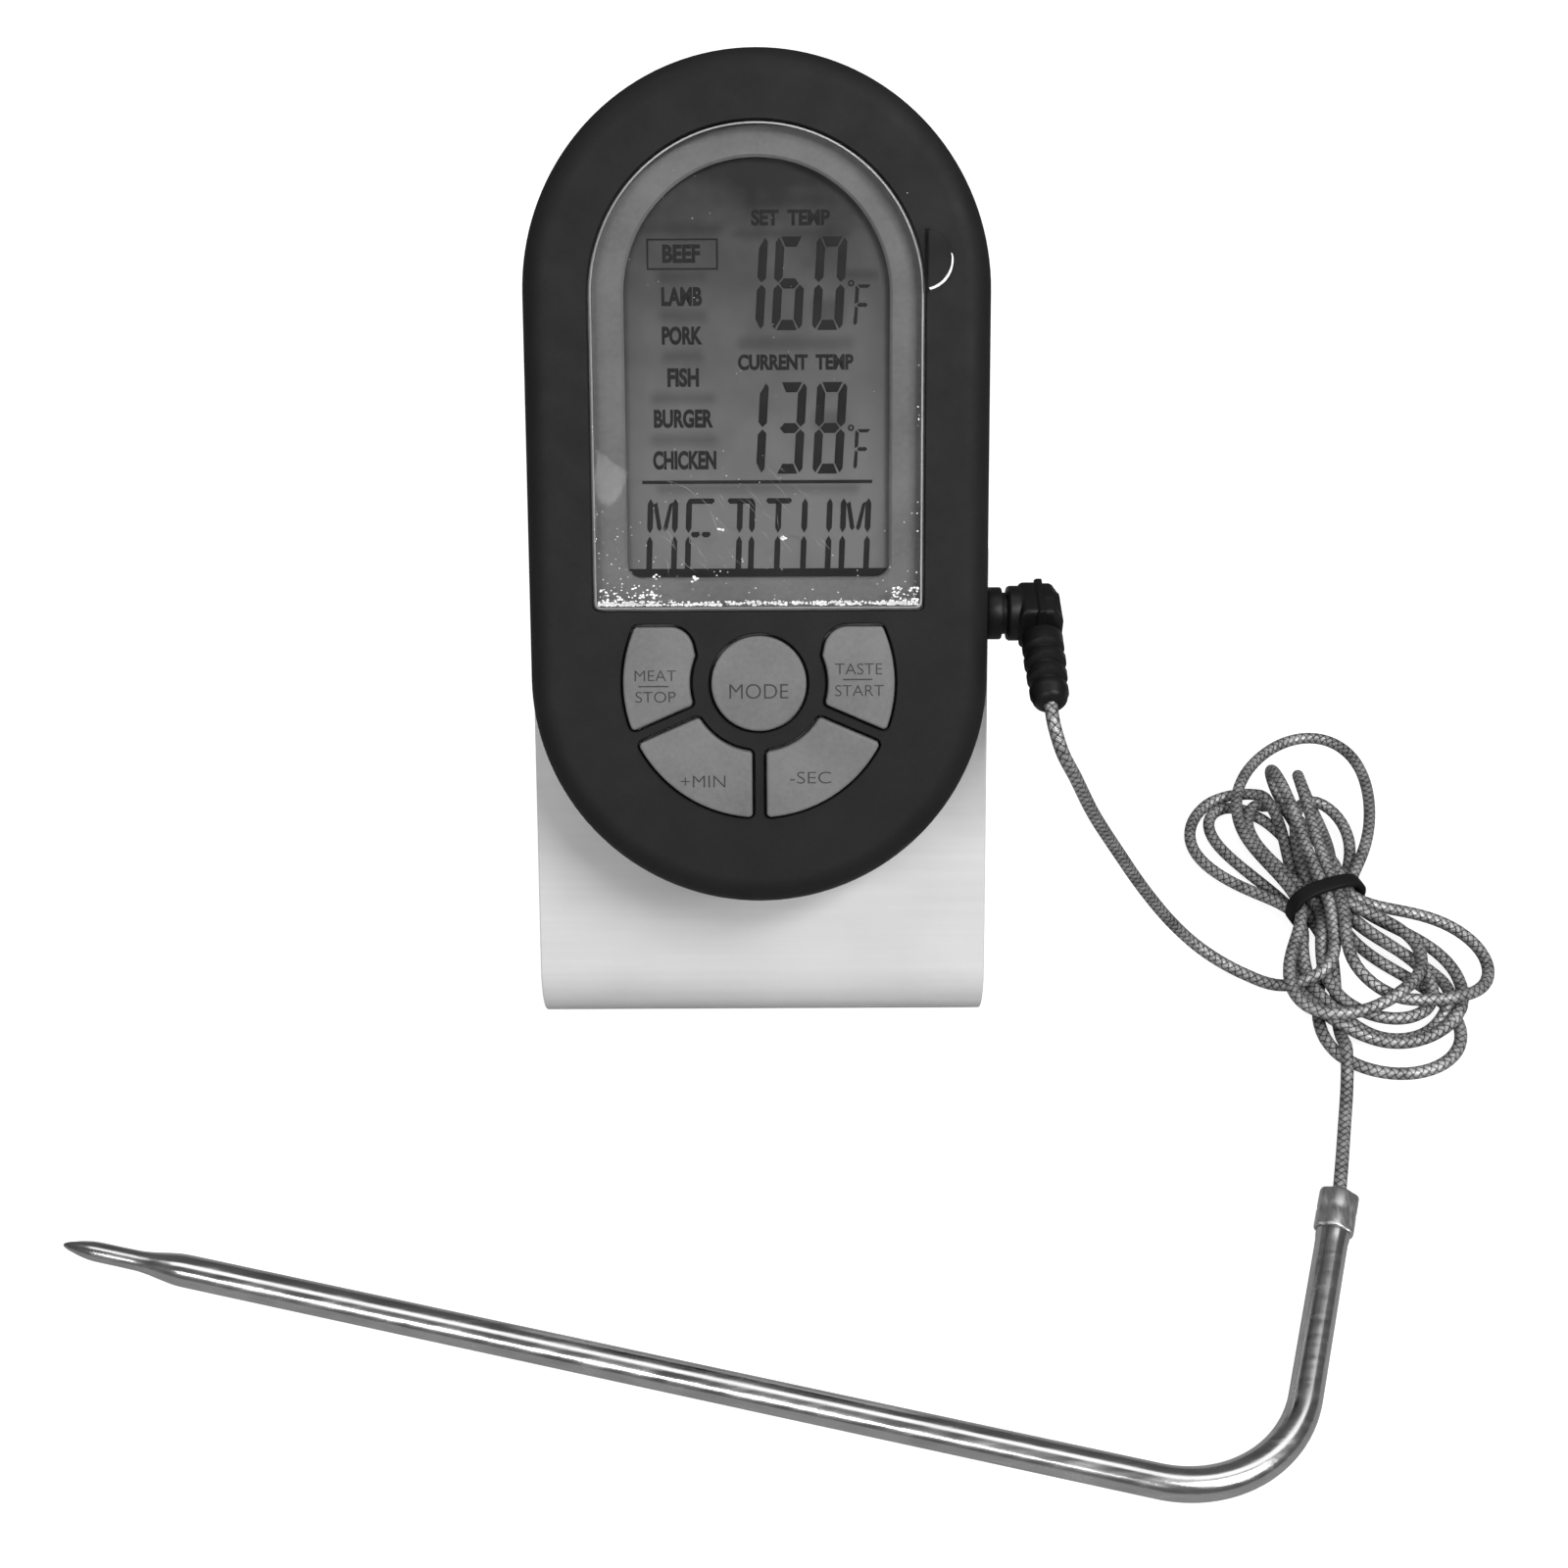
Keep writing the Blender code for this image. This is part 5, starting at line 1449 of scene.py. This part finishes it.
def make_stand():
    """One sheet: a leaf behind the housing, a round bend at the bottom front, and a foot on the table."""
    bend = STAND_BEND_RADIUS * (math.pi - LEAN)
    total = STAND_LEAF + bend + FOOT_LENGTH
    corner = [STAND_CORNER_RADIUS * (1 - math.cos(math.pi / 2 * i / 16)) for i in range(17)]
    spots = corner + [STAND_LEAF] + [STAND_LEAF + bend * i / 56 for i in range(1, 57)]
    spots += [total - spot for spot in reversed(corner)]
    levels = []
    for spot in spots:
        if spot <= STAND_LEAF:
            normal = OUT_OF_FACE
            point = STAND_BEND_CENTRE + normal * STAND_BEND_RADIUS + UP_FACE * (STAND_LEAF - spot)
        elif spot <= STAND_LEAF + bend + 1e-9:
            turn = LEAN + (spot - STAND_LEAF) / STAND_BEND_RADIUS
            normal = Vector((0.0, -math.sin(turn), math.cos(turn)))
            point = STAND_BEND_CENTRE + normal * STAND_BEND_RADIUS
        else:
            normal = Vector((0.0, 0.0, -1.0))
            point = Vector((0.0, STAND_BEND_CENTRE.y + spot - STAND_LEAF - bend, 0.0))
        from_end = min(spot, total - spot, STAND_CORNER_RADIUS)
        half = STAND_WIDTH / 2 - STAND_CORNER_RADIUS
        half += math.sqrt(STAND_CORNER_RADIUS**2 - (STAND_CORNER_RADIUS - from_end) ** 2)
        section = rounded_bar(half, STAND_SHEET / 2, STAND_EDGE, 3)
        levels.append([point + Vector((x, 0.0, 0.0)) - normal * (y + STAND_SHEET / 2) for x, y in section])
    stand = raw("sheet_stand", *stack(levels))
    for centre in STAND_SCREWS:
        ring = circle(centre, SCREW_HOLE_RADIUS)
        combine(stand, plate("hole", ring, HOUSING_DEPTH, HOUSING_DEPTH + 0.0025))
    settle(stand, "stand", "unit", "stand", angle=40.0)


# ---------------------------------------------------------------- the plug, the tie and the probe

JACK_AXIS = FACE @ Vector((0.0, JACK_Y, -JACK_DEPTH))


# One rib of the strain relief: along its axis, and in from its outside
RIB = ((0.0, 0.0004), (0.0002, 0.0007), (0.0007, 0.0007), (0.0009, 0.0002), (0.0013, 0.0), (0.0024, 0.00002))


def make_plug():
    side = HOUSING_WIDTH / 2
    start = JACK_AXIS + Vector((side + 0.0006, 0.0, 0.0))
    collar = (
        (0.0, 0.0036), (0.0002, 0.0038), (0.0005, 0.0039), (0.0022, 0.0039), (0.0024, 0.0038),
        (0.0026, 0.0031), (0.0032, 0.0031), (0.0033, 0.0039), (0.0036, 0.0041), (0.0049, 0.0041),
        (0.0052, 0.0040), (0.0058, 0.0036), (0.0100, 0.0036), (0.0110, 0.0030),
    )
    body = turned("plug_shell", collar, start, (1, 0, 0), 56)

    def block(grow, x_low, x_high, chamfer):
        """The block's front outline from the jack's axis, with its upper right corner cut off by chamfer."""
        low, high = -0.0036 - grow, 0.0036 + grow
        corner = min(0.0008, (x_high - x_low) * 0.4)
        outline = arc((x_low + corner, low + corner), corner, 270, 180, 5)
        outline += arc((x_low + corner, high - corner), corner, 180, 90, 5)
        outline += [(x_high - chamfer - corner / 2, high), (x_high - chamfer, high - chamfer * 0.2)]
        outline += [(x_high - chamfer * 0.15, high - 1.5 * chamfer), (x_high, high - 1.5 * chamfer - 0.0004)]
        return outline + arc((x_high - corner, low + corner), corner, 0, -90, 5)

    def prism(x_low, x_high, grow, chamfer, edge=0.0007):
        levels = []
        ends = [(inset, depth - 0.0041 - grow) for inset, depth in edge_steps(edge, 5)]
        ends += [(inset, 0.0033 + grow - depth) for inset, depth in reversed(edge_steps(edge, 5))]
        for inset, y in ends:
            outline = block(grow - inset, x_low, x_high - inset, chamfer)
            levels.append([JACK_AXIS + Vector((x, y, z)) for x, z in outline])
        return raw("block", *stack(levels))

    combine(body, prism(side + 0.0056, side + 0.0089, 0.0, 0.0006), "UNION")
    combine(body, prism(side + 0.0070, side + 0.0120, -0.0001, 0.0013), "UNION")
    combine(body, prism(side + 0.0080, side + 0.0092, 0.00025, 0.0001, 0.0002), "UNION")
    settle(body, "plug", "probe_lead", "plug_body", angle=28.0)

    start = JACK_AXIS + Vector((side + 0.0087, -0.0051, -0.0004))
    way = Vector(UPPER_ROUTE[0]) - start
    length = way.length + GAP
    relief = [(0.0, 0.0029), (0.0003, 0.0031), (0.0026, 0.0031)]
    for rib in range(3):
        along = 0.0030 + rib * 0.0028
        radius = 0.0031 - rib * 0.00012
        for step, inset in RIB:
            relief.append((along + step, radius - inset))
    relief += [(length - depth, 0.0026 - inset) for inset, depth in reversed(edge_steps(0.0014, 7))]
    settle(turned("relief", relief, start, way, 56), "plug", "probe_lead", "strain_relief")


def make_tie():
    """A soft flat band round the bundle's waist."""
    half, low, high, thick, wide = 0.0070, 0.0001, 0.0094, 0.0009, 0.0013
    middle = (low + high) / 2
    section = [(x, y - thick / 2) for x, y in rounded_bar(wide, thick / 2, 0.0003, 4)]
    points, sides = [], 96
    for i in range(sides):
        turn = 2 * math.pi * i / sides
        for along, inset in section:
            reach = (half + inset, (high - low) / 2 + inset)
            x = reach[0] * math.copysign(abs(math.cos(turn)) ** 0.78, math.cos(turn))
            z = reach[1] * math.copysign(abs(math.sin(turn)) ** 0.78, math.sin(turn))
            points.append(TIE_CENTRE + TIE_ACROSS * x + TIE_ALONG * along + Vector((0.0, 0.0, middle + z)))
    faces = bands(sides, len(section), closed=True)
    settle(raw("tie_band", points, faces), "tie", "probe_lead", "cord_tie")


PROBE_DIAMETER = 0.0046
PROBE_BEND_RADIUS = 0.0185
PROBE_CORNER = Vector((0.0688, -0.1247, PROBE_DIAMETER / 2))
PROBE_TIP = Vector((-0.1017, -0.0838, PROBE_DIAMETER / 2))
PROBE_END = Vector((0.0857, -0.0761, PROBE_DIAMETER / 2))
FERRULE_LENGTH = 0.0070
# The probe's drawn-down point: distance from the tip and radius, millimetres
POINT_PROFILE = (
    (0.0, 0.02), (0.1, 0.22), (0.4, 0.40), (1.0, 0.62), (2.8, 1.08), (4.5, 1.36), (5.6, 1.41),
    (9.0, 1.40), (12.2, 1.43), (14.0, 1.62), (16.0, 1.96), (17.8, 2.22), (19.0, 2.30),
)


def tube_rings(path, radii, sides):
    """Rings round path; each radius is a number, or a function of the angle."""
    rings = []
    up = Vector((0.0, 0.0, 1.0))
    for i, point in enumerate(path):
        way = (path[min(i + 1, len(path) - 1)] - path[max(i - 1, 0)]).normalized()
        across = way.cross(up).normalized()
        turns = [2 * math.pi * k / sides for k in range(sides)]
        radius = radii[i]
        ring = []
        for turn in turns:
            reach = radius(turn) if callable(radius) else radius
            ring.append(point + across * (reach * math.cos(turn)) + up * (reach * math.sin(turn)))
        rings.append(ring)
    return rings


def make_probe():
    back = (PROBE_TIP - PROBE_CORNER).normalized()
    onward = (PROBE_END - PROBE_CORNER).normalized()
    half_angle = back.angle(onward) / 2
    reach = PROBE_BEND_RADIUS / math.tan(half_angle)
    centre = PROBE_CORNER + (back + onward).normalized() * (PROBE_BEND_RADIUS / math.sin(half_angle))
    first = PROBE_CORNER + back * reach
    sweep = math.pi - 2 * half_angle
    bend = [centre + Matrix.Rotation(sweep * i / 60, 3, "Z") @ (first - centre) for i in range(61)]
    finish = PROBE_END - onward * (FERRULE_LENGTH + GAP)
    stops, sizes = np.array(POINT_PROFILE).T * MM
    along = np.concatenate([stops[:4], np.linspace(0.0013, 0.0200, 60)])
    near = np.interp(along, stops, sizes)
    soft = near.copy()
    for _ in range(3):
        soft[5:-2] = (soft[4:-3] + soft[5:-2] * 2 + soft[6:-1]) / 4
    radius = PROBE_DIAMETER / 2
    path = [PROBE_TIP - back * a for a in along]
    radii = [float(r) for r in soft]
    far = (first - PROBE_TIP).length
    steps = np.linspace(0.024, far - 0.002, 40)
    path += [PROBE_TIP - back * float(a) for a in steps] + bend
    radii += [radius] * (len(steps) + len(bend))
    flare = ((0.0120, radius), (0.0030, radius), (0.0014, radius + 0.00002), (0.0006, radius + 0.00012))
    flare += ((0.0002, radius + 0.00012), (0.0, radius - 0.00005))
    path += [finish - onward * gap for gap, _ in flare]
    radii += [size for _, size in flare]
    bore = tube_rings([finish - onward * gap for gap in (0.008, 0.004, 0.0)], [radius - 0.0005] * 3, 56)
    levels = tube_rings(path, radii, 56) + list(reversed(bore))
    settle(raw("probe_rod", *stack(levels)), "steel", "probe_lead", "probe_tube")


def ferrule_shape(grow):
    """The crimp's section as a radius by angle: a round ridge down the middle between two flattened wings."""

    def reach(turn):
        x, y = abs(math.cos(turn)), abs(math.sin(turn))
        ridge = 0.00205
        wing = 1 / ((x / 0.00285) ** 3.2 + (y / 0.00135) ** 3.2) ** (1 / 3.2)
        return (ridge**8 + wing**8) ** (1 / 8) * 0.99 + grow

    return reach


def make_ferrule():
    onward = (PROBE_END - PROBE_CORNER).normalized()
    start = PROBE_END - onward * FERRULE_LENGTH
    steps = edge_steps(0.0004, 4)
    run = steps + [(0.0, 0.0030), (0.00012, 0.0035), (0.0, 0.0040)]
    run += [(inset, FERRULE_LENGTH - depth) for inset, depth in reversed(steps)]
    outer = tube_rings([start + onward * a for _, a in run], [ferrule_shape(-inset) for inset, _ in run], 96)
    inner = tube_rings([start + onward * a for a in (0.0, FERRULE_LENGTH)], [0.0011, 0.0011], 96)
    loops = outer + list(reversed(inner))
    points = [p for ring in loops for p in ring]
    faces = bands(len(loops), len(loops[0]), closed=True)
    settle(raw("crimp_sleeve", points, faces), "crimp", "probe_lead", "crimp_ferrule")


# ---------------------------------------------------------------- CAD nodes that keep their own shape

KEPT = {
    "lcd_connector_strip": "rubber",
    "keypad_membrane": "rubber",
    "main_pcb": "board",
    "control_chip": "chip",
    "buzzer": "chip",
    "jack_socket": "chip",
    "switch_body": "plated",
    "battery_1": "cell",
    "battery_2": "cell",
    "battery_spring_1": "plated",
    "battery_spring_2": "plated",
    "contact_positive": "plated",
    "contact_negative": "plated",
    "contact_bridge": "plated",
    "plug_pin": "plated",
    "thermistor": "chip",
    "sensor_wires": "plated",
}


def finish_kept_nodes():
    for node, look in KEPT.items():
        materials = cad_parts[node].data.materials
        materials.clear()
        materials.append(LOOKS[look][0])


# ---------------------------------------------------------------- studio


# Lamps: name, place, width and height, and power
LAMPS = (
    ("left_light", (-0.42, -0.80, 0.64), (0.52, 0.045), 4.0),
    ("right_light", (0.62, -0.66, 0.72), (0.40, 0.16), 2.8),
    ("key_light", (0.46, -0.54, 1.00), (0.52, 0.22), 7.2),
    ("top_light", (0.0, 0.18, 1.16), (1.90, 0.48), 5.4),
)
LAMP_AIM = Vector((0.0, -0.05, 0.04))


def make_studio():
    scene = bpy.context.scene
    scene.view_settings.view_transform = "Standard"
    mesh = bpy.data.meshes.new("floor")
    corners = [(x, y, 0.0) for x, y in rectangle(-3.0, 3.0, -3.0, 3.0)]
    mesh.from_pydata(corners, [], [(0, 1, 2, 3)])
    floor = bpy.data.objects.new("floor", mesh)
    scene.collection.objects.link(floor)
    floor.location.z = -0.00005
    paper = Shade("floor_paper")
    paper.set(Base_Color=paper.mix(paper.noise(40.0), grey(0.29), grey(0.32)))
    paper.set(Roughness=0.9, Specular_IOR_Level=0.1)
    seen = paper.node("ShaderNodeLightPath").outputs["Is Camera Ray"]
    paper.set(Emission_Color=grey(1.0), Emission_Strength=paper.maths("MULTIPLY", seen, 0.9))
    mesh.materials.append(paper.material)

    world = bpy.data.worlds.new("studio")
    scene.world = world
    world.use_nodes = True
    back = world.node_tree.nodes["Background"]
    back.inputs["Color"].default_value = (1.0, 1.0, 1.0, 1.0)
    back.inputs["Strength"].default_value = 0.11

    for name, place, size, power in LAMPS:
        data = bpy.data.lights.new(name, "AREA")
        data.shape = "RECTANGLE"
        data.size, data.size_y = size
        data.energy = power
        light = bpy.data.objects.new(name, data)
        light.location = place
        light.rotation_euler = (LAMP_AIM - Vector(place)).to_track_quat("-Z", "Y").to_euler()
        scene.collection.objects.link(light)


make_camera()
make_plug()
make_tie()
make_cord()
make_front_shell()
make_keys()
make_window()
make_bezel()
make_display()
make_film_marks()
make_rear_shell()
make_door()
make_switch()
make_screws()
make_stand()
make_probe()
make_ferrule()
finish_kept_nodes()
make_studio()
